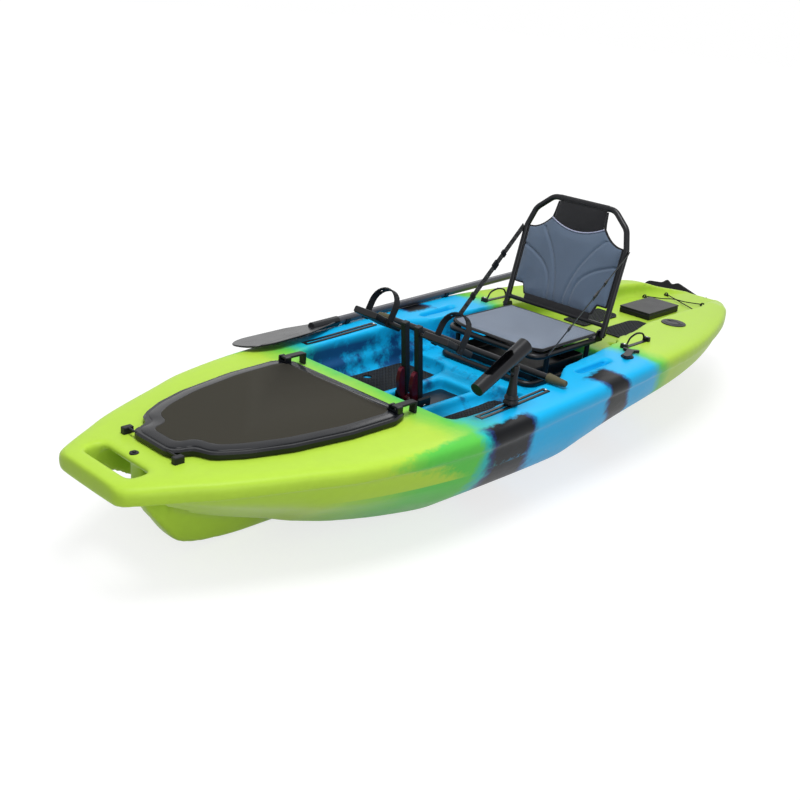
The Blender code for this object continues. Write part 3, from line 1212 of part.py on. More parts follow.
def make_rod_holder():
    x = ROD_HOLDER_X
    y = rim_half(TRACK_X) - TRACK_INSET
    rise = math.tan(deck_pitch(TRACK_X)) * (TRACK_X - x + KNOB_RADIUS)
    seat_z = deck_z(TRACK_X) + TRACK_PROUD + rise + GAP
    profile = (
        (0, 0.121), (0.012, 0.121), (0.014, 0.115), (0.011, 0.089), (0.013, 0.059), (0.017, 0.033), (0.016, 0.030),
        (0.020, 0.026), (KNOB_RADIUS, 0.020), (0.0195, 0.016), (KNOB_RADIUS, 0.010), (KNOB_RADIUS, 0.002), (0.018, 0), (0, 0),
    )
    post = bake(turned("rod_holder_post", profile, BLACK, (x, y, seat_z), sides=16))
    post_z = seat_z + 0.029
    slit = box("post_slit", (0.06, 0.0126, 0.044), BLACK, (x, y, post_z + 0.080))
    pin_z = post_z + 0.084
    cut(post, slit)
    bake(post)
    slope = math.atan2(0.095, 0.206)
    long = 0.227
    along = Vector((math.cos(slope), 0, -math.sin(slope)))
    lift = Vector((math.sin(slope), 0, math.cos(slope)))
    centre = Vector((x, y, pin_z)) + along * 0.055 + lift * 0.044
    turn = (0, math.pi / 2 + slope, 0)
    cradle = rod("rod_holder_cradle", 0.025, long, BLACK, centre, turn, 20, end_radius=0.021)
    bore = rod("cradle_bore", 0.021, long, BLACK, centre - along * 0.006, turn, 16, end_radius=0.018)
    mouth = box("cradle_mouth", (0.120, 0.028, 0.05), BLACK, centre + lift * 0.025 + along * 0.005, (0, slope, 0), edge=0.01)
    tongue = box("cradle_tongue", (0.020, 0.012, 0.040), BLACK, Vector((x, y, pin_z + 0.006)), (0, 0, 0), edge=0.003)
    fuse(cradle, tongue)
    cut(cradle, bore, mouth, rod("tongue_bore", 0.0035 + SHAFT_PLAY, 0.06, BLACK, (x, y, pin_z), ALONG_Y, 10))
    bake(cradle)
    fuse(post, rod("holder_pin", 0.0035, 0.024, STEEL, (x, y, pin_z), ALONG_Y, 10))
    swivel = pivot("rod_holder_swivel", (x, y, seat_z))
    tilt_axis = pivot("rod_holder_tilt", (x, y, pin_z))
    hang(tilt_axis, cradle)
    hang(swivel, post, tilt_axis)


def make_thwart():
    z = deck_z(THWART_X) + GRIP_RADIUS + GAP
    inner = COCKPIT_HALF - 0.014
    rod("thwart_bar", THWART_RADIUS, 2 * inner, DARK_ALLOY, (THWART_X, 0, z), ALONG_Y, 14)
    length = -PADDLE_Y - PADDLE_RADIUS - GRIP_TO_PADDLE - inner - GAP
    for word, side in SIDES:
        turn = (-side * math.pi / 2, 0, 0)
        at = (THWART_X, side * (inner + GAP + length / 2), z)
        rod("thwart_grip_" + word, GRIP_RADIUS, length, OLIVE, at, turn, 14, end_radius=0.010)


def make_steering():
    x, y = -0.290, 0.372
    at, turn = deck_seat(x, y, 0.0)
    hub = bake(turned("lever_hub", ((0, 0.008), (0.016, 0.008), (0.022, 0.003), (0.022, -0.004), (0, -0.004)), BLACK, at, turn, 18))
    bed_disc("lever_bed", 0.022 + TURNING_PLAY, 0.004, at, turn)
    outline = softened([
        (0.014, -0.012), (0.048, -0.012), (0.056, -0.030), (0.068, -0.026), (0.058, 0.0), (0.068, 0.026), (0.056, 0.030), (0.048, 0.012),
        (0.014, 0.012), (-0.016, 0.014), (-0.034, 0.006), (-0.034, -0.006), (-0.016, -0.014),
    ], 0.006, 2)
    lever = plate("steering_lever", outline, 0.008, BLACK, (x, y, at[2] + 0.009), (0, turn[1], math.radians(200)), edge=0.002)
    fuse(bake(lever), hub, solver="MANIFOLD")
    hang(pivot("steering_axis", at), lever)


def make_rudder():
    stern = -1.525 * LONG
    z = 0.232
    bracket = box("rudder_bracket", (0.018, 0.050, 0.080), BLACK, (stern - GAP - 0.009, 0, z), edge=0.003)
    for number in (-1, 1):
        lug_at = (RUDDER_PIN_X + 0.010, 0, z + number * 0.030)
        fuse(bracket, box(f"rudder_lug_{number}", (0.044, 0.026, 0.010), BLACK, lug_at, edge=0.003))
    fuse(bracket, rod("rudder_pin", 0.004, 0.082, STEEL, (RUDDER_PIN_X, 0, z), sides=12))
    head = box("rudder_head", (0.026, 0.030, 0.048), BLACK, (RUDDER_PIN_X - 0.004, 0, z), edge=0.004)
    stub_x = RUDDER_PIN_X - 0.022
    cut(head, rod("head_bore", 0.004 + SHAFT_PLAY, 0.2, BLACK, (RUDDER_PIN_X, 0, z), sides=12))
    bake(head)
    stub = rod("kick_stub", 0.005, 0.022, BLACK, (stub_x - 0.004, 0, z), ALONG_X, 12)
    fuse(head, stub)
    blade_x = RUDDER_PIN_X - 0.017 - 0.0006 - 0.004
    span = RUDDER_BLADE_SPAN
    outline = softened([
        (0.018, -0.018), (0.018, 0.020), (-0.060, 0.034), (-0.160, 0.066), (-0.190, 0.050), (-0.215, 0.070), (-0.240, 0.048), (-span + 0.03, 0.040),
        (-span, 0.010), (-span + 0.05, -0.034), (-0.100, -0.036),
    ], 0.01, 2)
    blade = plate("rudder_blade", outline, 0.008, BLACK, (blade_x, 0, z), (math.pi / 2, 0, math.pi / 2), edge=0.002)
    cut(blade, rod("blade_bore", 0.005 + SHAFT_PLAY, 0.06, BLACK, (blade_x, 0, z), ALONG_X, 12))
    bake(blade)
    steer = pivot("rudder_steer_axis", (RUDDER_PIN_X, 0, z))
    kick = pivot("rudder_kick_axis", (blade_x, 0, z))
    hang(kick, blade)
    hang(steer, head, kick)


HULL = make_hull()
make_hatch()
make_tracks()
make_pads()
make_side_handles()
make_discs()
make_tank_box()
make_eyes()
make_seat()
make_drive()
make_paddle()
make_rod_holder()
make_thwart()
make_steering()
make_rudder()
make_deck_recesses()
bake(cut(HULL, *HULL_BEDS, solver="MANIFOLD"))
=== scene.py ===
# %% [markdown]
# A sit-on-top kayak with a pedal drive, dressed over its CAD frame.
# The frame gives every size and every place, so this file only adds what a frame can't show: the soft
# moulded skin, the cloth, the rubber, the colours and the small things that repeat.
# All lengths are metres: +X points to the bow, +Y to port and +Z up, with the keel standing on z = 0.

# %% Load the frame
import json
import math

import bmesh
import bpy
from mathutils import Matrix, Vector
from mathutils.bvhtree import BVHTree

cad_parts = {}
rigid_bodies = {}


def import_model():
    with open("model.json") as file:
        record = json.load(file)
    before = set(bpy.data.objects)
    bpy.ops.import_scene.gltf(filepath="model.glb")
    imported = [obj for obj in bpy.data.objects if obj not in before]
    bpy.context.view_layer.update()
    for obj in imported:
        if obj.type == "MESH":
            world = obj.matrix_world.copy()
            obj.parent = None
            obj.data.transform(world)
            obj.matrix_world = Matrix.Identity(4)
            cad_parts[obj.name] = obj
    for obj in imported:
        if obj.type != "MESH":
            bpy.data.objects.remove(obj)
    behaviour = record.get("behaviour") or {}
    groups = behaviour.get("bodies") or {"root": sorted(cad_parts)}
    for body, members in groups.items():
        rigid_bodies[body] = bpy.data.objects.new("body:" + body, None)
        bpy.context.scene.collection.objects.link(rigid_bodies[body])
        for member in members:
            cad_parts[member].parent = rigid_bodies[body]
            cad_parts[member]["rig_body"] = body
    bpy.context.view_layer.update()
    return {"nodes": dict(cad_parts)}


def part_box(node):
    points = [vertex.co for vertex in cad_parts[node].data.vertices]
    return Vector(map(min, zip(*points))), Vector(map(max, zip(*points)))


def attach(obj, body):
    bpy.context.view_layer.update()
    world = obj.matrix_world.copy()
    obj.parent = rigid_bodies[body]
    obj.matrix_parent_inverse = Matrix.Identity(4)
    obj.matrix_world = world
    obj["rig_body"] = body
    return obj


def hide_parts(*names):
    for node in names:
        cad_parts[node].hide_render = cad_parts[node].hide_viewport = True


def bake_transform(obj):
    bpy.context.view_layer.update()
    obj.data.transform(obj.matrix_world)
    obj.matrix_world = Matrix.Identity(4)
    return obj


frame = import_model()
nodes = frame["nodes"]
SIDES = (("port", 1), ("starboard", -1))

# %% [markdown]
# The camera comes first, because everything is judged through it. The photograph was taken from off the
# port bow, a little above the deck. It doesn't tell how long the boat is, and shorter boats agree with it
# as well or better. A length of three metres was chosen, and the roll of some five degrees follows from
# that choice. A camera could be aimed with a Track To constraint, but that has no roll, so its three axes
# are worked out here and written as the columns of its matrix.

# %% Camera
AZIMUTH = math.radians(131.71)
ELEVATION = math.radians(21.83)
ROLL = math.radians(5.34)
DISTANCE = 3.310
AIM = Vector((0.424, 0.0, 0.238))
LENS = 46.9

back = Vector((
    math.sin(AZIMUTH) * math.cos(ELEVATION),
    -math.cos(AZIMUTH) * math.cos(ELEVATION),
    math.sin(ELEVATION),
))
level_right = (-back).cross(Vector((0, 0, 1))).normalized()
level_up = level_right.cross(-back)
right = level_right * math.cos(ROLL) + level_up * math.sin(ROLL)
up = level_up * math.cos(ROLL) - level_right * math.sin(ROLL)
lens = bpy.data.cameras.new("photo_view")
lens.lens = LENS
lens.sensor_width = 36.0
lens.clip_end = 100.0
camera = bpy.data.objects.new("photo_view", lens)
bpy.context.scene.collection.objects.link(camera)
axes = Matrix((right, up, back)).transposed().to_4x4()
camera.matrix_world = Matrix.Translation(AIM + back * DISTANCE) @ axes
bpy.context.scene.camera = camera
print("camera at", [round(c, 3) for c in camera.location])

# %% [markdown]
# Every finish is a small node tree on Object coordinates, which here are real metres, because each piece
# keeps its place in its mesh. These helpers write a node in one line: settings go on the node, values on
# its sockets, and links name the socket that feeds each input.

# %% Helpers for finishes
def linear(red, green, blue):
    """A screen colour, 0 to 255, as the linear colour that a shader wants."""
    parts = []
    for part in (red, green, blue):
        share = part / 255
        parts.append(share / 12.92 if share <= 0.04045 else ((share + 0.055) / 1.055) ** 2.4)
    return (*parts, 1.0)


def new_finish(name, colour, roughness, metallic=0.0, specular=0.5):
    material = bpy.data.materials.new(name)
    material.use_nodes = True
    shader = material.node_tree.nodes["Principled BSDF"]
    shader.inputs["Base Color"].default_value = colour
    shader.inputs["Roughness"].default_value = roughness
    shader.inputs["Metallic"].default_value = metallic
    shader.inputs["Specular IOR Level"].default_value = specular
    return material


def add(material, kind, values=None, links=None, **settings):
    node = material.node_tree.nodes.new("ShaderNode" + kind)
    for key, value in settings.items():
        setattr(node, key, value)
    for key, value in (values or {}).items():
        node.inputs[key].default_value = value
    for key, source in (links or {}).items():
        material.node_tree.links.new(source, node.inputs[key])
    return node


def feed(material, socket, source):
    shader = material.node_tree.nodes["Principled BSDF"]
    material.node_tree.links.new(source, shader.inputs[socket])


def object_point(material):
    return add(material, "TexCoord").outputs["Object"]


def noise(material, point, scale, detail=2.0, roughness=0.5):
    values = {"Scale": scale, "Detail": detail, "Roughness": roughness}
    return add(material, "TexNoise", values, {"Vector": point}).outputs["Fac"]


def maths(material, operation, first, second, third=None):
    node = add(material, "Math", operation=operation)
    for index, item in enumerate((first, second, third)):
        if item is None:
            continue
        if isinstance(item, (int, float)):
            node.inputs[index].default_value = item
        else:
            material.node_tree.links.new(item, node.inputs[index])
    return node.outputs[0]


def ramp(material, factor, stops, smooth=False):
    node = add(material, "ValToRGB", links={"Fac": factor})
    node.color_ramp.interpolation = "EASE" if smooth else "LINEAR"
    elements = node.color_ramp.elements
    elements[0].position, elements[0].color = stops[0]
    elements[1].position, elements[1].color = stops[-1]
    for position, colour in stops[1:-1]:
        elements.new(position).color = colour
    return node.outputs["Color"]


def mix_colours(material, factor, first, second):
    node = add(material, "Mix", data_type="RGBA")
    for index, item in ((0, factor), (6, first), (7, second)):
        if isinstance(item, (float, int, tuple)):
            node.inputs[index].default_value = item
        else:
            material.node_tree.links.new(item, node.inputs[index])
    return node.outputs[2]


def bump(material, height, strength, distance):
    node = add(material, "Bump", {"Strength": strength, "Distance": distance}, {"Height": height})
    feed(material, "Normal", node.outputs["Normal"])


# %% [markdown]
# The stage is a pale floor under a pale sky. The sky lights the object evenly, and where the camera, a
# gloss or a clear part looks at it, it is plain white. Three large soft lamps give the deck its shape.
# Big lamps close by make soft shadows, as the light on plastic in the photograph does.

# %% Stage and light
FLOOR_BOUNCE = 0.48
FLOOR_GLOW = 0.68
FLOOR_Z = -0.0006
FLOOR_REACH = 30.0
SKY_FILL = 0.42
WHITE = (1.0, 1.0, 1.0, 1.0)


def white_rays(owner):
    """One for the rays that see the background: from the camera, a gloss or clear stuff."""
    rays = add(owner, "LightPath")
    total = rays.outputs["Is Camera Ray"]
    for kind in ("Is Glossy Ray", "Is Transmission Ray"):
        total = maths(owner, "MAXIMUM", total, rays.outputs[kind])
    return total


def make_sky():
    world = bpy.data.worlds.new("pale_sky")
    bpy.context.scene.world = world
    world.use_nodes = True
    fill = world.node_tree.nodes["Background"]
    fill.inputs["Color"].default_value = (0.96, 0.98, 1.0, 1.0)
    fill.inputs["Strength"].default_value = SKY_FILL
    seen = add(world, "Background", {"Color": WHITE})
    links = {0: white_rays(world), 1: fill.outputs[0], 2: seen.outputs[0]}
    choose = add(world, "MixShader", links=links)
    world.node_tree.links.new(choose.outputs[0], world.node_tree.nodes["World Output"].inputs["Surface"])


def make_lamp(name, at, aim, size, watts):
    data = bpy.data.lights.new(name, "AREA")
    data.shape = "DISK"
    data.size = size
    data.energy = watts
    lamp = bpy.data.objects.new(name, data)
    bpy.context.scene.collection.objects.link(lamp)
    lamp.location = at
    lamp.rotation_euler = (Vector(aim) - Vector(at)).to_track_quat("-Z", "Y").to_euler()


def make_floor_finish():
    """A floor that glows white away from the boat and keeps its soft shadow close by."""
    m = new_finish("pale_floor", WHITE, 1.0, 0.0, 0.0)
    feed(m, "Base Color", maths(m, "MULTIPLY_ADD", white_rays(m), 1.0 - FLOOR_BOUNCE, FLOOR_BOUNCE))
    white = add(m, "Emission", {"Strength": 1.08})
    squeeze = add(m, "VectorMath", {1: (1.0, 1.6, 0.0)}, {0: object_point(m)}, operation="MULTIPLY")
    away = add(m, "VectorMath", links={0: squeeze.outputs[0]}, operation="LENGTH").outputs["Value"]
    limits = {1: 1.0, 2: 2.6, 3: FLOOR_GLOW, 4: 1.0}
    fade = add(m, "MapRange", limits, {0: away}, interpolation_type="SMOOTHSTEP")
    shown = maths(m, "MULTIPLY", fade.outputs[0], white_rays(m))
    shader = m.node_tree.nodes["Principled BSDF"]
    cover = add(m, "MixShader", links={0: shown, 1: shader.outputs[0], 2: white.outputs[0]})
    m.node_tree.links.new(cover.outputs[0], m.node_tree.nodes["Material Output"].inputs["Surface"])
    return m


def make_floor():
    mesh = bpy.data.meshes.new("floor")
    corners = ((-1, -1), (1, -1), (1, 1), (-1, 1))
    mesh.from_pydata([(x * FLOOR_REACH, y * FLOOR_REACH, FLOOR_Z) for x, y in corners], [], [(0, 1, 2, 3)])
    mesh.materials.append(make_floor_finish())
    floor = bpy.data.objects.new("floor", mesh)
    bpy.context.scene.collection.objects.link(floor)


make_sky()
make_lamp("key", (0.9, 0.6, 4.6), (0.1, 0, 0.2), 2.2, 150)
make_lamp("fill", (2.4, 3.8, 1.5), (0.5, 0.3, 0.2), 2.4, 46)
make_lamp("rim", (-3.6, -1.8, 3.4), (-0.4, 0, 0.4), 2.0, 26)
make_floor()
bpy.context.scene.view_settings.view_transform = "Standard"
print("stage lit by three lamps and the sky")

# %% [markdown]
# The hull is moulded from powder in several colours, poured in place by hand, so the bands run into one
# another: lime at both ends, sky blue amidships, two black bands down each flank and a green bloom before
# the first. One colour ramp along X makes the bands. Two noises bend its edges, and a slant lets each band
# lean as it goes down the side. A second ramp without black paints the deck and the cockpit inside.

# %% Hull finish
LIME = linear(176, 212, 68)
LEAF = linear(92, 196, 76)
SKY = linear(18, 176, 232)
TEAL = linear(30, 178, 176)
NAVY = linear(22, 52, 108)
INK = linear(5, 7, 12)
RAMP_REACH = 1.6


def along_hull(stops):
    """Ramp stops from stations in metres, stern to bow."""
    return [((x + RAMP_REACH) / (2 * RAMP_REACH), colour) for x, colour in stops]


def make_hull_finish():
    m = new_finish("moulded_hull", LIME, 0.36, 0.0, 0.12)
    point = object_point(m)
    parts = add(m, "SeparateXYZ", links={0: point})
    x, y, z = parts.outputs
    broad = noise(m, point, 5.0, 3.0)
    fine = noise(m, point, 38.0, 4.0, 0.6)
    slant = maths(m, "MULTIPLY_ADD", x, -0.667, 0.60)
    lean = maths(m, "MULTIPLY", maths(m, "SUBTRACT", 0.33, z), slant)
    drift = maths(m, "MULTIPLY", maths(m, "SUBTRACT", broad, 0.5), 0.14)
    fray = maths(m, "MULTIPLY", maths(m, "SUBTRACT", fine, 0.5), 0.045)
    station = maths(m, "ADD", maths(m, "ADD", x, lean), maths(m, "ADD", drift, fray))
    share = maths(m, "DIVIDE", maths(m, "ADD", station, RAMP_REACH), 2 * RAMP_REACH)
    flank = ramp(m, share, along_hull((
        (-1.6, LIME), (-0.46, LIME), (-0.38, LEAF), (-0.32, SKY), (-0.172, SKY), (-0.154, NAVY),
        (-0.140, INK), (-0.038, INK), (-0.026, NAVY), (-0.003, SKY), (0.345, SKY), (0.372, NAVY),
        (0.385, INK), (0.525, INK), (0.540, NAVY), (0.562, TEAL), (0.600, LEAF), (0.780, LEAF),
        (1.000, LIME), (1.6, LIME),
    )))
    deck = ramp(m, share, along_hull((
        (-1.6, LIME), (-0.46, LIME), (-0.38, LEAF), (-0.31, SKY), (0.44, SKY), (0.53, TEAL),
        (0.580, LEAF), (0.70, LIME), (1.6, LIME),
    )))
    out = maths(m, "ABSOLUTE", y, 0.0)
    edge = add(m, "MapRange", {1: -0.30, 2: 0.30, 3: 0.345, 4: 0.425}, {0: x}).outputs[0]
    over = maths(m, "MULTIPLY", maths(m, "SUBTRACT", maths(m, "ADD", out, fray), edge), 60.0)
    under = maths(m, "MULTIPLY", maths(m, "SUBTRACT", 0.195, z), 400.0)
    on_flank = add(m, "Clamp", links={0: maths(m, "MAXIMUM", over, under)}).outputs[0]
    colour = mix_colours(m, on_flank, deck, flank)
    far_wall = add(m, "MapRange", {1: -0.22, 2: -0.31, 3: 0.0, 4: 0.10}, {0: y}).outputs[0]
    splash_noise = maths(m, "ADD", noise(m, point, 8.0, 6.0, 0.66), far_wall)
    splash = add(m, "MapRange", {1: 0.52, 2: 0.66, 3: 0.0, 4: 0.9}, {0: splash_noise}).outputs[0]
    inside_x = add(m, "MapRange", {1: 0.56, 2: 0.50, 3: 0.0, 4: 1.0}, {0: x}).outputs[0]
    inside_rear = add(m, "MapRange", {1: -0.26, 2: -0.18, 3: 0.0, 4: 1.0}, {0: x}).outputs[0]
    below = add(m, "MapRange", {1: 0.330, 2: 0.300, 3: 0.0, 4: 1.0}, {0: z}).outputs[0]
    off_flank = maths(m, "SUBTRACT", 1.0, on_flank)
    inside = maths(m, "MULTIPLY", inside_x, inside_rear)
    where = maths(m, "MULTIPLY", inside, maths(m, "MULTIPLY", below, off_flank))
    colour = mix_colours(m, maths(m, "MULTIPLY", splash, where), colour, NAVY)
    grime = maths(m, "MULTIPLY_ADD", fine, 0.10, 0.95)
    shade = add(m, "VectorMath", {}, {0: colour}, operation="SCALE")
    m.node_tree.links.new(grime, shade.inputs["Scale"])
    feed(m, "Base Color", shade.outputs[0])
    feed(m, "Roughness", maths(m, "MULTIPLY_ADD", fine, 0.12, 0.32))
    peel = noise(m, point, 420.0, 2.0)
    bump(m, maths(m, "ADD", maths(m, "MULTIPLY", peel, 0.5), broad), 0.25, 0.0012)
    return m


hull_finish = make_hull_finish()

# %% [markdown]
# The fittings share a few finishes. Black nylon has a fine moulded grain, the deck foam is matt and
# slightly mottled, its ribbed kind has rows of cut diamonds, and the alloy tubes have a thin satin coat.
# Each grain is a noise or a brick pattern that moves the normal, at the size of the real one. The noise grain
# does nothing else, but the brick pattern of the ribbed foam also paints the cut grooves darker than the
# raised diamonds: painted shade in the grooves.

# %% Finishes of the fittings
def grained(name, colour, roughness, scale, strength, metallic=0.0, specular=0.4, mottle=0.12):
    m = new_finish(name, colour, roughness, metallic, specular)
    point = object_point(m)
    grain = noise(m, point, scale, 3.0)
    patch = noise(m, point, 14.0, 2.0)
    darker = tuple(part * (1 - mottle) for part in colour[:3]) + (1.0,)
    lighter = tuple(min(1.0, part * (1 + mottle) + 0.002) for part in colour[:3]) + (1.0,)
    feed(m, "Base Color", mix_colours(m, patch, darker, lighter))
    feed(m, "Roughness", maths(m, "MULTIPLY_ADD", patch, 0.16, roughness - 0.08))
    bump(m, grain, strength, 0.0006)
    return m


black_plastic = grained("black_plastic", linear(16, 17, 21), 0.42, 700.0, 0.25, specular=0.26)
gloss_black = grained("gloss_black", linear(9, 12, 18), 0.24, 300.0, 0.08, specular=0.32)
dark_rubber = grained("dark_rubber", linear(20, 21, 24), 0.62, 500.0, 0.3, specular=0.2)
deck_foam = grained("deck_foam", linear(56, 54, 47), 0.85, 900.0, 0.5, specular=0.08, mottle=0.07)
coated_alloy = grained("coated_alloy", linear(18, 19, 23), 0.34, 250.0, 0.05, 0.2, 0.32)
red_alloy = grained("red_alloy", linear(92, 12, 32), 0.30, 300.0, 0.06, 0.55, 0.5)
plain_steel = grained("plain_steel", linear(190, 190, 192), 0.26, 500.0, 0.08, 1.0, 0.5, 0.05)
olive_rubber = grained("olive_rubber", linear(78, 74, 52), 0.62, 320.0, 0.5, specular=0.3)
pale_shaft = grained("pale_shaft", linear(60, 62, 70), 0.30, 200.0, 0.05, 0.1, 0.5)


def make_ribbed_foam():
    m = new_finish("ribbed_foam", linear(38, 40, 43), 0.85, 0.0, 0.2)
    point = object_point(m)
    turned = add(m, "Mapping", {"Rotation": (0.0, 0.0, math.radians(45))}, {"Vector": point}).outputs[0]
    values = {"Scale": 90.0, "Mortar Size": 0.09, "Mortar Smooth": 0.6, "Brick Width": 0.9, "Row Height": 0.9}
    bricks = add(m, "TexBrick", values, {"Vector": turned}, offset=0.0)
    # Painted shade: the grooves between the diamonds get a darker colour than their raised tops.
    feed(m, "Base Color", mix_colours(m, bricks.outputs["Fac"], linear(46, 48, 51), linear(20, 21, 23)))
    height = maths(m, "SUBTRACT", 1.0, bricks.outputs["Fac"])
    grain = maths(m, "MULTIPLY_ADD", noise(m, point, 900.0), 0.2, height)
    bump(m, grain, 0.8, 0.002)
    return m


ribbed_foam = make_ribbed_foam()

# %% [markdown]
# The seat is covered in a plain-woven nylon. Two sets of fine bands, one along each thread direction,
# give the weave, and a slow noise gives the slight fading of outdoor cloth. The seat back leans by
# thirteen degrees, so its weave is turned by as much and stays square to the panel.

# %% Cloth finishes
CLOTH_LEAN = math.radians(13.0)


def woven(name, colour, thread, turn=0.0, roughness=0.85, weave=0.7):
    m = new_finish(name, colour, roughness, 0.0, 0.25)
    m.node_tree.nodes["Principled BSDF"].inputs["Sheen Weight"].default_value = 0.25
    m.node_tree.nodes["Principled BSDF"].inputs["Sheen Roughness"].default_value = 0.45
    point = object_point(m)
    laid = add(m, "Mapping", {"Rotation": (0.0, turn, 0.0)}, {"Vector": point}).outputs[0]
    parts = add(m, "SeparateXYZ", links={0: laid})
    rate = 2 * math.pi / thread
    across = maths(m, "SINE", maths(m, "MULTIPLY", parts.outputs[1], rate), 0.0)
    long = maths(m, "ADD", parts.outputs[0], parts.outputs[2])
    down = maths(m, "SINE", maths(m, "MULTIPLY", long, rate), 0.0)
    cloth = maths(m, "MULTIPLY", across, down)
    faded = noise(m, point, 7.0, 3.0)
    darker = tuple(part * 0.84 for part in colour[:3]) + (1.0,)
    lighter = tuple(min(1.0, part * 1.14) for part in colour[:3]) + (1.0,)
    base = mix_colours(m, faded, darker, lighter)
    thread_shade = add(m, "MapRange", {1: -1.0, 2: 1.0, 3: 0.88, 4: 1.06}, {0: cloth}).outputs[0]
    shaded = add(m, "VectorMath", {}, {0: base}, operation="SCALE")
    m.node_tree.links.new(thread_shade, shaded.inputs["Scale"])
    feed(m, "Base Color", shaded.outputs[0])
    bump(m, cloth, weave, 0.0004)
    return m


slate_cloth = woven("slate_cloth", linear(92, 107, 127), 0.0022, CLOTH_LEAN)
pale_cloth = woven("pale_cloth", linear(124, 135, 152), 0.0022)
black_cloth = woven("black_cloth", linear(18, 18, 22), 0.0026, CLOTH_LEAN, 0.8)
black_webbing = woven("black_webbing", linear(20, 21, 25), 0.0030, 0.0, 0.7, 0.9)
piping_cloth = woven("piping_cloth", linear(168, 172, 198), 0.0016, 0.0, 0.7, 0.5)
thread = woven("thread", linear(120, 132, 150), 0.0008, 0.0, 0.7, 0.4)

# %% [markdown]
# These helpers make and place a piece. A piece's mesh is written where it belongs, so its object stays at
# the origin, and its normals are worked out once the doubles are merged. Shading is smooth except over
# edges sharper than a given angle, which keeps flat faces flat.

# %% Helpers for pieces
def place(name, mesh, finish, body, sharp=35.0):
    piece = bpy.data.objects.new(name, mesh)
    bpy.context.scene.collection.objects.link(piece)
    mesh.materials.clear()
    mesh.materials.append(finish)
    mesh.shade_smooth()
    mesh.set_sharp_from_angle(angle=math.radians(sharp))
    if body:
        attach(piece, body)
    return piece


def clean_mesh(bm, name, merge=0.00001):
    bmesh.ops.remove_doubles(bm, verts=bm.verts, dist=merge)
    bmesh.ops.recalc_face_normals(bm, faces=bm.faces)
    mesh = bpy.data.meshes.new(name)
    bm.to_mesh(mesh)
    bm.free()
    return mesh


def loft_mesh(name, rings, closed_ends=True):
    bm = bmesh.new()
    rows = [[bm.verts.new(point) for point in ring] for ring in rings]
    count = len(rows[0])
    for near, far in zip(rows, rows[1:]):
        for i in range(count):
            j = (i + 1) % count
            bm.faces.new((near[i], near[j], far[j], far[i]))
    if closed_ends:
        bm.faces.new(rows[0][::-1])
        bm.faces.new(rows[-1])
    return clean_mesh(bm, name)


def baked(piece):
    """Turn a piece's modifiers into plain mesh."""
    bpy.context.view_layer.update()
    graph = bpy.context.evaluated_depsgraph_get()
    mesh = bpy.data.meshes.new_from_object(piece.evaluated_get(graph))
    piece.modifiers.clear()
    piece.data = mesh
    return piece


def softened(points, radius, steps=3, closed=True):
    """Round the corners of a path with short curves, by one radius or a list of them."""
    eased = []
    count = len(points)
    radii = radius if isinstance(radius, list) else [radius] * count
    for i, point in enumerate(points):
        here = Vector(point)
        if not closed and i in (0, count - 1):
            eased.append(tuple(here))
            continue
        to_before = Vector(points[i - 1]) - here
        to_after = Vector(points[(i + 1) % count]) - here
        reach = min(radii[i], 0.45 * to_before.length, 0.45 * to_after.length)
        start = here + to_before.normalized() * reach
        end = here + to_after.normalized() * reach
        for k in range(steps + 1):
            t = k / steps
            eased.append(tuple(start * (1 - t) ** 2 + here * (2 * t * (1 - t)) + end * t**2))
    return eased


def add_cuts(piece, cutters):
    for cutter in cutters:
        cut = piece.modifiers.new(cutter.name, "BOOLEAN")
        cut.operation = "DIFFERENCE"
        cut.solver = "MANIFOLD"
        cut.object = cutter


def discard(pieces):
    for piece in pieces:
        bpy.data.objects.remove(piece, do_unlink=True)


def on_side(outline, side):
    """An outline drawn for port, flipped over for starboard."""
    return outline if side > 0 else [(x, -y) for x, y in reversed(outline)]


def level(height):
    """A line that keeps one height."""
    return lambda y: height


def mirrored(half):
    return list(half) + [(x, -y) for x, y in reversed(half)]


def grown(outline, distance):
    """Move each side of a closed outline out, or in when negative."""
    result = []
    for i in range(len(outline)):
        before = Vector(outline[i - 1])
        here = Vector(outline[i])
        after = Vector(outline[(i + 1) % len(outline)])
        first = (here - before).normalized()
        second = (after - here).normalized()
        out = Vector((first.y + second.y, -first.x - second.x))
        bend = 1.0 + first.dot(second)
        result.append(tuple(here + out * (distance / max(bend, 0.3))))
    return result


# %% [markdown]
# The hull skin is a loft. The lines below are the same as in the frame, drawn to agree with the photograph
# and, where it shows nothing, with what such boats have. They give the half breadth of the rim and the
# heights of deck, keel and chine, each against its station. A boat builder fairs them with a bent batten,
# and a smooth reading between the stations does the same. Rings are cut every two centimetres and their
# corners are rounded as a mould rounds them.

# %% Lines of the hull
RIM_HALF = (
    (1.535, 0.118), (1.527, 0.142), (1.505, 0.160), (1.470, 0.182), (1.410, 0.215), (1.330, 0.262),
    (1.110, 0.358), (0.980, 0.410), (0.730, 0.458), (0.500, 0.475), (0.000, 0.475), (-0.300, 0.468),
    (-0.570, 0.445), (-0.800, 0.405), (-1.090, 0.320), (-1.300, 0.228), (-1.480, 0.134), (-1.512, 0.112),
    (-1.525, 0.090),
)
DECK_Z = (
    (1.535, 0.316), (1.400, 0.3215), (1.000, 0.3253), (0.620, 0.3289), (0.500, 0.3292), (0.170, 0.341),
    (-0.120, 0.352), (-0.360, 0.358), (-0.800, 0.352), (-1.250, 0.345), (-1.380, 0.315), (-1.525, 0.290),
)
KEEL_Z = (
    (1.535, 0.262), (1.440, 0.252), (1.410, 0.235), (1.389, 0.183), (1.338, 0.105), (1.279, 0.036),
    (1.187, 0.012), (1.050, 0.000), (-1.000, 0.000), (-1.250, 0.015), (-1.420, 0.060), (-1.500, 0.120),
    (-1.525, 0.170),
)
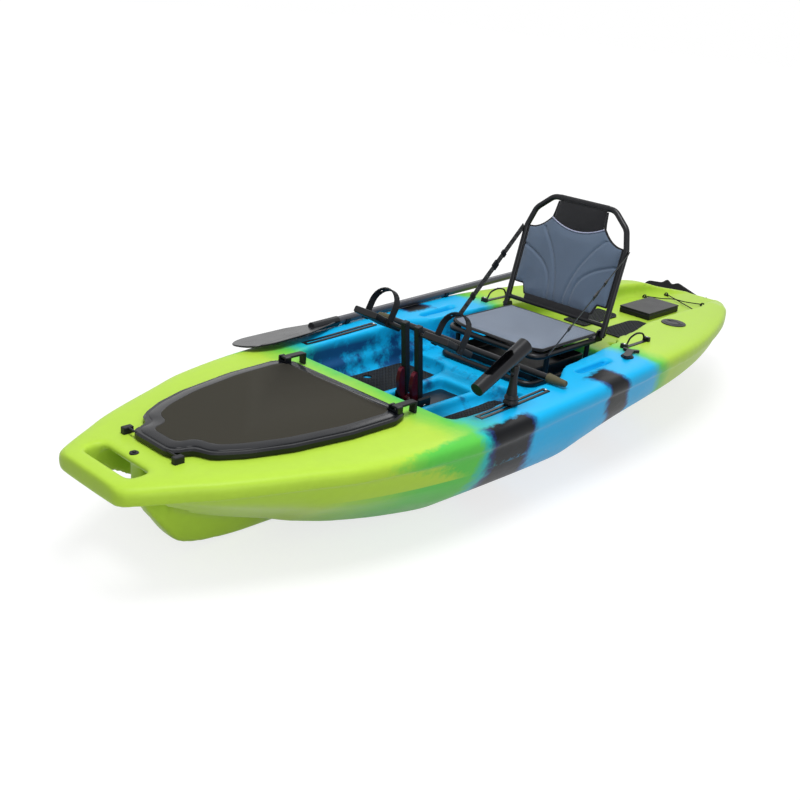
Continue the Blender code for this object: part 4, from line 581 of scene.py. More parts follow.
CREASE_Z = (
    (1.535, 0.2625), (1.410, 0.240), (1.389, 0.205), (1.300, 0.152), (1.200, 0.105), (1.100, 0.080),
    (1.000, 0.062), (0.900, 0.054), (0.500, 0.045), (-0.900, 0.045), (-1.200, 0.060), (-1.400, 0.085),
    (-1.525, 0.172),
)
SPONSON_Z = (
    (1.535, 0.263), (1.410, 0.244), (1.389, 0.216), (1.300, 0.166), (1.200, 0.125), (1.100, 0.092),
    (1.000, 0.062), (0.900, 0.040), (0.750, 0.018), (0.600, 0.004), (0.500, 0.000), (-0.600, 0.000),
    (-0.900, 0.012), (-1.200, 0.040), (-1.400, 0.072), (-1.525, 0.176),
)
CHINE_HALF = (
    (1.535, 0.100), (1.500, 0.120), (1.410, 0.150), (1.300, 0.160), (1.200, 0.170), (1.100, 0.178),
    (1.000, 0.215), (0.883, 0.272), (0.691, 0.345), (0.549, 0.379), (0.090, 0.391), (-0.080, 0.365),
    (-0.264, 0.330), (-0.600, 0.275), (-1.050, 0.197), (-1.390, 0.130), (-1.525, 0.068),
)
CHINE_Z = (
    (1.535, 0.264), (1.440, 0.258), (1.389, 0.238), (1.300, 0.200), (1.200, 0.165), (1.100, 0.130),
    (1.000, 0.105), (0.900, 0.100), (-1.200, 0.100), (-1.400, 0.115), (-1.525, 0.190),
)


def read_line(line, x):
    """Read a line between its stations with smooth slopes and no overshoot."""
    points = line[::-1]
    x = min(max(x, points[0][0]), points[-1][0])
    i = 0
    while i < len(points) - 2 and x > points[i + 1][0]:
        i += 1

    def steepness(k):
        return (points[k + 1][1] - points[k][1]) / (points[k + 1][0] - points[k][0])

    def slope_at(k):
        if k == 0 or k == len(points) - 1:
            return steepness(min(k, len(points) - 2))
        before, after = steepness(k - 1), steepness(k)
        if before * after <= 0:
            return 0.0
        return 2 * before * after / (before + after)

    span = points[i + 1][0] - points[i][0]
    t = (x - points[i][0]) / span
    start, end = points[i][1], points[i + 1][1]
    lead, trail = slope_at(i) * span, slope_at(i + 1) * span
    return (
        start * (2 * t**3 - 3 * t**2 + 1)
        + lead * (t**3 - 2 * t**2 + t)
        + end * (3 * t**2 - 2 * t**3)
        + trail * (t**3 - t**2)
    )


def deck_z(x):
    return read_line(DECK_Z, x)


def rim_half(x):
    return read_line(RIM_HALF, x)


def deck_pitch(x):
    return -math.atan2(deck_z(x + 0.01) - deck_z(x - 0.01), 0.02)


def hull_ring(x):
    """A section of the hull as a closed ring with rounded corners."""
    keel, crease = read_line(KEEL_Z, x), read_line(CREASE_Z, x)
    sponson, chine = read_line(SPONSON_Z, x), read_line(CHINE_Z, x)
    chine_y, rim, top = read_line(CHINE_HALF, x), rim_half(x), deck_z(x)
    band = top - 0.018
    low = band - 0.033
    flare = min(1.0, max(0.0, (x - 0.55) / 0.65))
    side = rim - min(0.012 + 0.018 * flare, 0.16 * rim)
    sponson_y = chine_y - 1.28 * (chine - sponson)
    tunnel_y = min(0.085, 0.45 * sponson_y)
    corners = (
        (min(0.032, 0.3 * sponson_y), keel, 0.008), (tunnel_y, crease, 0.020),
        (0.55 * sponson_y + 0.45 * tunnel_y, sponson, 0.015), (sponson_y, sponson, 0.020),
        (chine_y, chine, 0.040), (0.3 * chine_y + 0.7 * side, 0.55 * chine + 0.45 * low, 0.050),
        (side, low - 0.004, 0.003), (rim, low, 0.004), (rim, band, 0.006),
        (rim - 0.008, band + 0.011, 0.008),
        (rim - 0.028, top - 0.002, 0.012), (rim - 0.055, top, 0.014),
    )
    half = [(y, z) for y, z, _ in corners]
    radii = [r for _, _, r in corners]
    ring = half + [(-y, z) for y, z in reversed(half)]
    return [(x, y, z) for y, z in softened(ring, radii + radii[::-1])]


print("beam amidships", round(2 * rim_half(0.1), 3), "m, deck at", round(deck_z(0.1), 3), "m")

# %% [markdown]
# The wells are cut out of the loft: cockpit, footwells, rear well, hatch, bow handle and drive slot. Each
# cutter is a tub with rounded plan corners, a little draft and a fillet round its floor, because a
# moulded part must leave its mould. After the cuts a voxel remesh melts every edge to the soft radius of
# a rotomoulded hull, and a few smoothing passes take out its grid. A bevel would need clean edges, which a
# Boolean of so many shapes doesn't give.

# %% Wells of the hull
SEAT_DECK_Z = 0.250
FOOT_FLOOR_Z = 0.200
DRIVE_DECK_Z = 0.235
TANK_FLOOR_Z = 0.288
CUT_TOP = 0.50


def tub(name, outline, floor, corner=0.03, fillet=0.012, draft=0.006, top=CUT_TOP):
    loops = []
    for inset, z in ((-draft - fillet, floor), (-draft, floor + fillet), (0.0, top)):
        loop = softened(grown(outline, inset), corner, 4)
        loops.append([(x, y, z) for x, y in loop])
    return place(name, loft_mesh(name, loops), hull_finish, None)


def block(name, low, high):
    bm = bmesh.new()
    bmesh.ops.create_cube(bm, size=1.0)
    size = Vector(high) - Vector(low)
    bmesh.ops.scale(bm, vec=size, verts=bm.verts)
    bmesh.ops.translate(bm, vec=(Vector(low) + Vector(high)) / 2, verts=bm.verts)
    return place(name, clean_mesh(bm, name), hull_finish, None)


def drum(name, radius, low, high, x, y, sides=24):
    bm = bmesh.new()
    bmesh.ops.create_cone(bm, cap_ends=True, segments=sides, radius1=radius, radius2=radius, depth=high - low)
    bmesh.ops.translate(bm, vec=(x, y, (low + high) / 2), verts=bm.verts)
    return place(name, clean_mesh(bm, name), hull_finish, None)


COCKPIT = mirrored((
    (0.578, 0.340), (0.428, 0.352), (0.045, 0.340), (-0.035, 0.292), (-0.360, 0.267), (-0.440, 0.255),
))
REAR_WELL = mirrored((
    (-0.390, 0.243), (-0.600, 0.216), (-0.740, 0.184), (-1.150, 0.180), (-1.300, 0.150), (-1.440, 0.102),
    (-1.560, 0.070),
))
HATCH = mirrored((
    (1.354, 0.086), (1.292, 0.100), (1.280, 0.150), (1.200, 0.196), (1.080, 0.238), (0.900, 0.270),
    (0.740, 0.276), (0.684, 0.256), (0.672, 0.225),
))


def hull_cutters():
    yield tub("cockpit_cut", COCKPIT, SEAT_DECK_Z)
    yield tub("rear_well_cut", REAR_WELL, TANK_FLOOR_Z, 0.02)
    middle = mirrored(((0.556, 0.122), (0.067, 0.122)))
    yield tub("drive_deck_cut", middle, DRIVE_DECK_Z, 0.01, 0.008, 0.004, SEAT_DECK_Z + 0.02)
    for word, side in SIDES:
        outline = [
            (0.563, 0.330), (0.057, 0.330), (0.057, 0.118), (0.190, 0.092), (0.430, 0.092), (0.563, 0.128),
        ]
        foot_top = SEAT_DECK_Z + 0.03
        yield tub(word + "_foot_cut", on_side(outline, side), FOOT_FLOOR_Z, 0.03, 0.015, 0.006, foot_top)
        for number, (x, y) in enumerate(((0.300, 0.270), (-0.560, 0.150))):
            yield drum(f"{word}_scupper_{number}", 0.012, -0.2, 0.5, x, side * y)
        pocket = [(-0.030, 0.360), (-0.215, 0.360), (-0.215, 0.330), (-0.030, 0.330)]
        yield tub(word + "_pocket_cut", on_side(pocket, side), deck_z(-0.12) - 0.028, 0.008, 0.004, 0.002)
    yield block("drive_ledge_cut", (0.147, -0.068, 0.185), (0.563, 0.068, 0.400))
    yield block("drive_slot_cut", (0.165, -0.050, -0.100), (0.545, 0.050, 0.300))
    yield block("fin_recess_cut", (0.161, -0.250, -0.100), (0.549, 0.250, 0.078))
    yield tub("hold_cut", grown(HATCH, -0.055), 0.165, 0.02, 0.02, 0.004)
    slot = mirrored(((1.484, 0.106), (1.420, 0.106)))
    yield tub("bow_slot_cut", slot, 0.10, 0.026, 0.001, 0.0)
    relief = mirrored(((1.506, 0.088), (1.410, 0.116), (1.325, 0.126), (1.325, 0.026), (1.398, 0.026)))
    rings = [[(x, y, z) for x, y in relief] for z in (-0.1, 0.299)]
    yield place("bow_handle_relief", loft_mesh("bow_handle_relief", rings), hull_finish, None)
    lid_bed = softened(grown(HATCH, 0.003), 0.033, 4)
    pitch = deck_pitch(1.013)
    low = [(x, y, deck_z(1.013) - 0.002 - (x - 1.013) * math.sin(pitch)) for x, y in lid_bed]
    high = [(x, y, z + 0.2) for x, y, z in low]
    yield place("lid_bed_cut", loft_mesh("lid_bed_cut", [low, high]), hull_finish, None)


# %% [markdown]
# The stations are closer at the bow, where the rim turns in fast. The wells are cut first and the remesh
# comes after, so that the edges of the cuts are melted with the rest.

# %% Hull skin
VOXEL = 0.0085


def make_hull_skin():
    stations = [1.535, 1.531, 1.527, 1.521, 1.513, 1.505]
    x = 1.495
    while x > -1.515:
        stations.append(x)
        x -= 0.018
    stations += [-1.515, -1.525]
    skin = place("hull_skin", loft_mesh("hull_skin", [hull_ring(x) for x in stations]), hull_finish, None)
    cutters = list(hull_cutters())
    add_cuts(skin, cutters)
    baked(skin)
    print("hull after the cuts:", len(skin.data.polygons), "faces")
    melt = skin.modifiers.new("melted edges", "REMESH")
    melt.mode = "VOXEL"
    melt.voxel_size = VOXEL
    ease = skin.modifiers.new("eased", "SMOOTH")
    ease.factor = 0.5
    ease.iterations = 5
    baked(skin)
    discard(cutters)
    skin.data.materials.clear()
    skin.data.materials.append(hull_finish)
    skin.data.shade_smooth()
    print("hull skin:", len(skin.data.polygons), "faces")
    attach(skin, "hull")
    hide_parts("hull")


make_hull_skin()

# %% [markdown]
# Most fittings keep the shapes of their CAD solids. A mould or a tool leaves a small radius on every edge,
# and a CAD solid has none, so each is copied, the loose triangles of the copy are merged into flat faces
# and a Bevel rounds its edges. The solid itself stays untouched and hidden, and the copy stands for it.

# %% Dressed copies of the solids
def on_frame(piece, body, slot, *stands_for):
    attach(piece, body)
    if stands_for:
        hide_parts(*stands_for)
    return piece


def merged_copy(name):
    bm = bmesh.new()
    bm.from_mesh(nodes[name].data)
    bmesh.ops.remove_doubles(bm, verts=bm.verts, dist=0.00002)
    bmesh.ops.dissolve_limit(bm, angle_limit=math.radians(0.5), verts=bm.verts, edges=bm.edges)
    mesh = bpy.data.meshes.new(name + "_finished")
    bm.to_mesh(mesh)
    bm.free()
    if "custom_normal" in mesh.attributes:
        mesh.attributes.remove(mesh.attributes["custom_normal"])
    return mesh


def dressed(name, finish, slot, width=0.0012, steps=2, sharp=35.0, cutters=()):
    piece = place(name + "_finished", merged_copy(name), finish, None, sharp)
    add_cuts(piece, cutters)
    rounding = piece.modifiers.new("rounded", "BEVEL")
    rounding.width = width
    rounding.segments = steps
    rounding.limit_method = "ANGLE"
    rounding.angle_limit = math.radians(max(32.0, sharp))
    even = piece.modifiers.new("even normals", "WEIGHTED_NORMAL")
    even.keep_sharp = True
    even.weight = 80
    baked(piece)
    discard(cutters)
    return on_frame(piece, nodes[name]["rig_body"], slot, name)


def dress_all(names, finish, slot, **how):
    for name in names:
        dressed(name, finish, slot, **how)


dress_all((
    "handle_base_port", "handle_base_starboard", "tank_box", "tank_box_lid", "pad_eye_port_front",
    "pad_eye_port_rear", "pad_eye_starboard_front", "pad_eye_starboard_rear", "seat_tray",
    "paddle_clip_front", "paddle_clip_rear", "rudder_bracket", "rudder_head", "rudder_blade",
    "steering_lever", "disc_cover_port", "disc_cover_starboard",
    "latch_lever_port", "latch_lever_starboard", "pedal_port", "pedal_starboard",
    "crank_arm_port", "crank_arm_starboard", "rod_holder_post", "rod_holder_cradle",
), black_plastic, "black_plastic")
dress_all(("paddle_blade_front", "paddle_blade_rear"), gloss_black, "black_plastic", width=0.0018)
dressed("bow_hatch_lid", gloss_black, "black_plastic", 0.003, 3)
dress_all(("footwell_pad_port", "footwell_pad_starboard", "tank_pad_port", "tank_pad_starboard"),
          ribbed_foam, "eva", width=0.0008)
dress_all(("gear_track_port", "gear_track_starboard", "drive_base", "thwart_bar", "idler_pulley"),
          coated_alloy, "dark_alloy", width=0.0006)
dress_all(("crank_root_port", "crank_root_starboard"), red_alloy, "red_alloy", width=0.0015)
dressed("crank_shaft", plain_steel, "steel", 0.0006)
dressed("hatch_hinge", black_plastic, "black_plastic", 0.0010)
dress_all(("fin_front", "fin_rear", "hatch_seal"), dark_rubber, "rubber", width=0.0006)
dress_all(("side_handle_port", "side_handle_starboard"), dark_rubber, "rubber", width=0.0002, sharp=60.0)
dress_all(("thwart_grip_port", "thwart_grip_starboard"), olive_rubber, "olive_grip", width=0.0025, steps=3)
dressed("paddle_shaft", pale_shaft, "pale_shaft", 0.001)

# %% [markdown]
# What repeats is made with Geometry Nodes. Three trees do it all: one bends a tube along a line and rounds
# its corners, one sets a small part at each step along a line, and one sets a part at each point, along
# that point's own axis. A Python loop could place them too, but a tree keeps pitch and size as inputs that
# can be turned later. Each result is made a plain mesh, because an export drops instances.

# %% Helpers for Geometry Nodes
def new_tree(name, sizes):
    tree = bpy.data.node_groups.new(name, "GeometryNodeTree")
    tree.interface.new_socket("Geometry", in_out="INPUT", socket_type="NodeSocketGeometry")
    tree.interface.new_socket("Geometry", in_out="OUTPUT", socket_type="NodeSocketGeometry")
    for label, kind in sizes:
        tree.interface.new_socket(label, in_out="INPUT", socket_type="NodeSocket" + kind)
    return tree, tree.nodes.new("NodeGroupInput").outputs, tree.nodes.new("NodeGroupOutput")


def step(tree, kind, values=None, links=None, **settings):
    node = tree.nodes.new(kind)
    for key, value in settings.items():
        setattr(node, key, value)
    for key, value in (values or {}).items():
        node.inputs[key].default_value = value
    for key, source in (links or {}).items():
        tree.links.new(source, node.inputs[key])
    return node.outputs[0]


def end_tree(tree, shape, given, leaving):
    smooth = step(tree, "GeometryNodeSetShadeSmooth", links={"Geometry": shape})
    real = step(tree, "GeometryNodeRealizeInstances", links={"Geometry": smooth})
    done = step(tree, "GeometryNodeSetMaterial", links={"Geometry": real, "Material": given["Material"]})
    tree.links.new(done, leaving.inputs[0])


def run_tree(name, tree, mesh, finish, **inputs):
    piece = bpy.data.objects.new(name, mesh)
    bpy.context.scene.collection.objects.link(piece)
    maker = piece.modifiers.new(tree.name, "NODES")
    maker.node_group = tree
    inputs["Material"] = finish
    for item in tree.interface.items_tree:
        if item.in_out == "INPUT" and item.name in inputs:
            maker[item.identifier] = inputs[item.name]
    baked(piece)
    piece.data.name = name
    return piece


def lines_mesh(name, *paths, closed=False):
    points, edges = [], []
    for path in paths:
        first = len(points)
        points += [tuple(point) for point in path]
        edges += [(first + i, first + i + 1) for i in range(len(path) - 1)]
        if closed:
            edges.append((first + len(path) - 1, first))
    mesh = bpy.data.meshes.new(name + "_line")
    mesh.from_pydata(points, edges, [])
    return mesh


def points_mesh(name, spots):
    """Points that carry the axis along which a part is set."""
    mesh = bpy.data.meshes.new(name + "_points")
    mesh.from_pydata([tuple(at) for at, _ in spots], [], [])
    axis = mesh.attributes.new("axis", "FLOAT_VECTOR", "POINT")
    for index, (_, direction) in enumerate(spots):
        axis.data[index].vector = direction
    return mesh


# %% [markdown]
# A tube is a circle carried along a line. The line's corners are filleted first, as a bender's die does.

# %% Tree that bends a tube
def make_tube_tree():
    sockets = (("Radius", "Float"), ("Bend", "Float"), ("Material", "Material"))
    tree, given, leaving = new_tree("bent_tube", sockets)
    line = step(tree, "GeometryNodeMeshToCurve", links={"Mesh": given["Geometry"]})
    links = {"Curve": line, "Radius": given["Bend"]}
    bent = step(tree, "GeometryNodeFilletCurve", {"Count": 7, "Limit Radius": True}, links, mode="POLY")
    ring = step(tree, "GeometryNodeCurvePrimitiveCircle", {"Resolution": 14}, {"Radius": given["Radius"]})
    links = {"Curve": bent, "Profile Curve": ring}
    tube = step(tree, "GeometryNodeCurveToMesh", {"Fill Caps": True}, links)
    end_tree(tree, tube, given, leaving)
    return tree


tube_tree = make_tube_tree()


def bent_tube(name, paths, radius, bend, finish, closed=False):
    mesh = lines_mesh(name, *paths, closed=closed)
    return run_tree(name, tube_tree, mesh, finish, Radius=radius, Bend=bend)


# %% [markdown]
# Stitches and ribs stand at an even pitch, so the line is walked in steps of that length.

# %% Tree that sets a part at each step along a line
def make_row_tree(name, boxed):
    tree, given, leaving = new_tree(name, (("Pitch", "Float"), ("Size", "Vector"), ("Material", "Material")))
    line = step(tree, "GeometryNodeMeshToCurve", links={"Mesh": given["Geometry"]})
    walk = tree.nodes.new("GeometryNodeCurveToPoints")
    walk.mode = "LENGTH"
    tree.links.new(line, walk.inputs["Curve"])
    tree.links.new(given["Pitch"], walk.inputs["Length"])
    if boxed:
        part = step(tree, "GeometryNodeMeshCube", {"Size": (1, 1, 1)})
    else:
        part = step(tree, "GeometryNodeMeshUVSphere", {"Segments": 6, "Rings": 5, "Radius": 0.5})
    sized = step(tree, "GeometryNodeTransform", links={"Geometry": part, "Scale": given["Size"]})
    links = {"Points": walk.outputs["Points"], "Rotation": walk.outputs["Rotation"], "Instance": sized}
    end_tree(tree, step(tree, "GeometryNodeInstanceOnPoints", links=links), given, leaving)
    return tree


stitch_tree = make_row_tree("stitches", False)
rib_tree = make_row_tree("ribs", True)


def row(name, tree, paths, pitch, size, finish, closed=False):
    return run_tree(name, tree, lines_mesh(name, *paths, closed=closed), finish, Pitch=pitch, Size=size)


# %% [markdown]
# Screws and diamonds each have a place and an axis of their own, which the points carry as an attribute.

# %% Tree that sets a part at each point
def make_spot_tree(name, make_part):
    tree, given, leaving = new_tree(name, (("Size", "Vector"), ("Material", "Material")))
    named = tree.nodes.new("GeometryNodeInputNamedAttribute")
    named.data_type = "FLOAT_VECTOR"
    named.inputs["Name"].default_value = "axis"
    links = {"Vector": named.outputs["Attribute"]}
    aimed = step(tree, "FunctionNodeAlignRotationToVector", links=links, axis="Z")
    sized = step(tree, "GeometryNodeTransform", links={"Geometry": make_part(tree), "Scale": given["Size"]})
    links = {"Points": given["Geometry"], "Rotation": aimed, "Instance": sized}
    end_tree(tree, step(tree, "GeometryNodeInstanceOnPoints", links=links), given, leaving)
    return tree


def screw_head(tree):
    """A domed head with a six-sided socket, one unit across."""
    dome = step(tree, "GeometryNodeMeshUVSphere", {"Segments": 16, "Rings": 8, "Radius": 0.5})
    socket = step(tree, "GeometryNodeMeshCylinder", {"Vertices": 6, "Radius": 0.22, "Depth": 0.5})
    raised = step(tree, "GeometryNodeTransform", {"Translation": (0, 0, 0.5)}, {"Geometry": socket})
    return step(tree, "GeometryNodeMeshBoolean", links={"Mesh 1": dome, "Mesh 2": raised}, solver="EXACT")


def diamond(tree):
    cube = step(tree, "GeometryNodeMeshCube", {"Size": (0.7, 0.7, 1.0)})
    return step(tree, "GeometryNodeTransform", {"Rotation": (0, 0, math.radians(45))}, {"Geometry": cube})


screw_tree = make_spot_tree("screws", screw_head)
diamond_tree = make_spot_tree("diamonds", diamond)


def spots(name, tree, places, size, finish):
    return run_tree(name, tree, points_mesh(name, places), finish, Size=size)


# %% [markdown]
# The deck foam pads have raised diamonds that grip a wet foot. They are set on a staggered grid wherever
# they fit inside the pad's own outline, and this is tested by looking straight down onto the pad.

# %% Diamonds on the foam pads
UP = Vector((0, 0, 1))


def surface_of(piece):
    points = [vertex.co.copy() for vertex in piece.data.vertices]
    return BVHTree.FromPolygons(points, [tuple(face.vertices) for face in piece.data.polygons])


def pad_diamonds(name, pitch, half):
    pad = bpy.data.objects[name + "_finished"]
    surface = surface_of(pad)
    low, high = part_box(name)
    found = []
    x, odd = low.x + pitch / 2, 0
    while x < high.x:
        y = low.y + pitch * (0.5 + 0.5 * odd)
        while y < high.y:
            margins = [(x + a, y + b) for a in (-half, half) for b in (-half, half)]
            if all(surface.ray_cast(Vector((p, q, 1)), -UP)[0] for p, q in margins):
                found.append((Vector((x, y, high.z)), UP))
            y += pitch
        x += pitch * 0.5
        odd = 1 - odd
    size = (pitch * 0.86, pitch * 0.62, 0.0016)
    piece = spots(name + "_diamonds", diamond_tree, found, size, ribbed_foam)
    on_frame(piece, "hull", "eva")
    return len(found)


for name in ("footwell_pad_port", "footwell_pad_starboard", "tank_pad_port", "tank_pad_starboard"):
    print(name, "diamonds:", pad_diamonds(name, 0.021, 0.009))

# %% [markdown]
# The hatch lid has a glossy sloping border some forty millimetres wide, and a matt foam mat fills the flat
# middle. Light runs along the crease between them. Both are lofts of the hatch outline, each loop a little
# further in and higher than the last, so border and mat stay parallel to the rim.

# %% Border and mat of the bow hatch
BORDER_STEPS = (
    (0.0142, 0.0), (0.0150, 0.0020), (0.0180, 0.0032), (0.0395, 0.0046), (0.0420, 0.0047), (0.0440, 0.0030),
)
MAT_STEPS = ((0.0424, 0.0), (0.0424, 0.0040), (0.0436, 0.0049), (0.0460, 0.0050))
LATCH_Y = 0.238


def mat_z(x, lift):
    low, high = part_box("bow_hatch_pad")
    slope = (deck_z(1.340) - deck_z(0.686)) / (1.340 - 0.686)
    return high.z - 0.005 + (x - low.x) * slope + lift


def hatch_layer(name, steps, finish, slot, *stands_for):
    rings = []
    for inset, lift in steps:
        line = softened(grown(HATCH, -inset), 0.03, 5)
        rings.append([(x, y, mat_z(x, lift)) for x, y in line])
    layer = place(name, loft_mesh(name, rings), finish, None, 40.0)
    notches = [
        block(
            f"{word}_{name}_notch", (0.60, side * LATCH_Y - 0.024, 0.30),
            (0.722, side * LATCH_Y + 0.024, 0.40),
        )
        for word, side in SIDES
    ]
    add_cuts(layer, notches)
    baked(layer)
    discard(notches)
    return on_frame(layer, "bow_hatch", slot, *stands_for)


hatch_layer("hatch_border", BORDER_STEPS, gloss_black, "black_plastic")
hatch_mat = hatch_layer("hatch_mat", MAT_STEPS, deck_foam, "deck_pad", "bow_hatch_pad")
print("hatch mat top", round(max(vertex.co.z for vertex in hatch_mat.data.vertices), 4), "m")

# %% [markdown]
# The seat frame is bent from alloy tube: two flat hoops joined by four posts, and a tall hoop that folds
# down over them. One line for each, with its corners rounded by the tree, is what a tube bender does.

# %% Seat frame
SEAT_HALF = 0.195
SEAT_TUBE = 0.0105
LEG_Y = 0.2163
HOOP_TOP = 0.425
BACK_LEAN = math.radians(13.0)
BACK_PIVOT = Vector((-0.368, 0.0, 0.378))
back_up = Vector((-math.sin(BACK_LEAN), 0.0, math.cos(BACK_LEAN)))
back_ahead = Vector((math.cos(BACK_LEAN), 0.0, math.sin(BACK_LEAN)))


def on_back(y, s, forward=0.0):
    """A point of the seat back: y across, s up the back, forward out of its face."""
    return BACK_PIVOT + back_up * s + back_ahead * forward + Vector((0.0, y, 0.0))


def flat_hoop(front, rear, z):
    return [(front, SEAT_HALF, z), (rear, SEAT_HALF, z), (rear, -SEAT_HALF, z), (front, -SEAT_HALF, z)]


def join(name, *pieces):
    """Put several finished meshes into one."""
    bm = bmesh.new()
    for piece in pieces:
        bm.from_mesh(piece.data)
    finish = pieces[0].data.materials[0]
    mesh = bpy.data.meshes.new(name)
    bm.to_mesh(mesh)
    bm.free()
    discard(pieces)
    mesh.materials.append(finish)
    joined = bpy.data.objects.new(name, mesh)
    bpy.context.scene.collection.objects.link(joined)
    return joined


def make_seat_frame():
    hoops = [flat_hoop(-0.015, -0.385, 0.352), flat_hoop(0.010, -0.365, 0.2609)]
    loops = bent_tube("seat_hoops", hoops, SEAT_TUBE, 0.035, coated_alloy, closed=True)
    legs = [
        [(x, side * SEAT_HALF, 0.2609), (x, side * SEAT_HALF, 0.352)]
        for x in (-0.075, -0.315) for _, side in SIDES
    ]
    posts = bent_tube("seat_posts", legs, 0.009, 0.001, coated_alloy)
    ears = []
    for word, side in SIDES:
        outline = softened([(0.020, -0.030), (0.016, 0.012), (-0.014, 0.012), (-0.026, -0.030)], 0.008, 4)
        rings = [
            [(BACK_PIVOT.x + x, side * (SEAT_HALF + 0.008) + y, BACK_PIVOT.z + z) for x, z in outline]
            for y in (-0.0025, 0.0025)
        ]
        ears.append(place(word + "_ear", loft_mesh(word + "_ear", rings), coated_alloy, None))
    pins = [
        [(BACK_PIVOT.x, side * (SEAT_HALF + y), BACK_PIVOT.z) for y in (0.007, 0.035)] for _, side in SIDES
    ]
    bolts = bent_tube("seat_pins", pins, 0.0039, 0.0, coated_alloy)
    frame_piece = join("seat_frame", loops, posts, *ears, bolts)
    frame_piece.data.set_sharp_from_angle(angle=math.radians(50))
    return on_frame(frame_piece, "hull", "dark_alloy", "seat_base_frame")


def make_back_hoop():
    half_path = [
        (LEG_Y, -0.012), (LEG_Y, HOOP_TOP - 0.125), (LEG_Y - 0.022, HOOP_TOP - 0.055), (0.130, HOOP_TOP),
    ]
    path = [on_back(y, s) for y, s in half_path] + [on_back(-y, s) for y, s in reversed(half_path)]
    hoop = bent_tube("back_hoop", [path], SEAT_TUBE, 0.05, coated_alloy)
    bar = bent_tube("back_bar", [[on_back(LEG_Y, 0.030), on_back(-LEG_Y, 0.030)]], 0.008, 0.0, coated_alloy)
    return on_frame(join("seat_back_hoop", hoop, bar), "seat_back", "dark_alloy", "seat_back_frame")


seat_frame = make_seat_frame()
back_hoop = make_back_hoop()
print("seat frame:", len(seat_frame.data.polygons), "faces; hoop:", len(back_hoop.data.polygons))

# %% [markdown]
# The cushions are foam under cloth. Each starts as a thin panel a little smaller than it ends, is remeshed
# to an even grid and blown up by Blender's Cloth with gravity off, so that it swells between its edges as
# foam does. How far a point may go is capped. The sewn channels are pressed in afterwards, because the
# remesh would lose them.

# %% Helpers for padded pieces
def panel_mesh(name, half, low_line, high_line, thick, columns=44, rows=36):
    """A flat closed panel between two lines, with thin edges and a fuller middle."""
    bm = bmesh.new()
    sheets = []
    for side in (1, -1):
        grid = []
        for j in range(rows + 1):
            v = j / rows
            line = []
            for i in range(columns + 1):
                u = 2 * i / columns - 1
                y = u * half(v) if callable(half) else u * half
                full = (1 - abs(u) ** 6) * (1 - abs(2 * v - 1) ** 8)
                along = low_line(y) + v * (high_line(y) - low_line(y))
                line.append(bm.verts.new((y, along, side * thick * (0.28 + 0.20 * full))))
            grid.append(line)
        sheets.append(grid)
        for j in range(rows):
            for i in range(columns):
                corners = (grid[j][i], grid[j][i + 1], grid[j + 1][i + 1], grid[j + 1][i])
                bm.faces.new(corners if side > 0 else corners[::-1])
    top, under = sheets
    rim = [(0, i) for i in range(columns)] + [(j, columns) for j in range(rows)]
    rim += [(rows, i) for i in range(columns, 0, -1)] + [(j, 0) for j in range(rows, 0, -1)]
    for (j, i), (q, p) in zip(rim, rim[1:] + rim[:1]):
        bm.faces.new((top[j][i], under[j][i], under[q][p], top[q][p]))
    return clean_mesh(bm, name)


def swell(piece, voxel, pressure, cap):
    """Blow a closed panel up with Cloth, and keep each point within cap of its start."""
    remesh = piece.modifiers.new("even grid", "REMESH")
    remesh.mode = "VOXEL"
    remesh.voxel_size = voxel
    baked(piece)
    start = [vertex.co.copy() for vertex in piece.data.vertices]
    held = piece.vertex_groups.new(name="held")
    held.add([i for i, point in enumerate(start) if abs(point.z) < 0.0035], 1.0, "REPLACE")
    cloth = piece.modifiers.new("foam", "CLOTH")
    cloth.settings.use_pressure = True
    cloth.settings.uniform_pressure_force = pressure
    cloth.settings.effector_weights.gravity = 0.0
    cloth.settings.vertex_group_mass = "held"
    cloth.settings.quality = 5
    cloth.point_cache.frame_start = 1
    cloth.point_cache.frame_end = 20
    for number in range(1, 21):
        bpy.context.scene.frame_set(number)
    baked(piece)
    bpy.context.scene.frame_set(1)
    for vertex, point in zip(piece.data.vertices, start):
        move = vertex.co - point
        if move.length > cap:
            vertex.co = point + move.normalized() * cap
    piece.vertex_groups.clear()
    return piece


def finish_pad(piece, finish):
    ease = piece.modifiers.new("eased", "SMOOTH")
    ease.factor = 0.5
    ease.iterations = 4
    soft = piece.modifiers.new("soft", "SUBSURF")
    soft.levels = 1
    soft.render_levels = 1
    baked(piece)
    piece.data.materials.clear()
    piece.data.materials.append(finish)
    piece.data.shade_smooth()
    return piece


def outward(piece):
    bm = bmesh.new()
    bm.from_mesh(piece.data)
    bmesh.ops.recalc_face_normals(bm, faces=bm.faces)
    bm.to_mesh(piece.data)
    bm.free()
    return piece


# %% [markdown]
# The seat base is a broad cloth pad, rounded at its two front corners, where the frame's hoop shows. It
# sags a little where someone sits. A black tape covers the cut edge all round.

# %% Seat base cushion
BASE_REAR = -0.366
BASE_LENGTH = 0.350
base_low, base_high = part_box("seat_base_cushion")
base_middle = (base_low.z + base_high.z) / 2


def base_front_line(y):
    """The front edge: straight in the middle and swept back to the corners."""
    share = max(0.0, (abs(y) - 0.105) / 0.088)
    return BASE_LENGTH - 0.030 * share**2.2


def base_sag(x, y):
    return 0.0045 * math.exp(-((y / 0.12) ** 2)) * math.exp(-(((x - BASE_REAR - 0.15) / 0.10) ** 2))


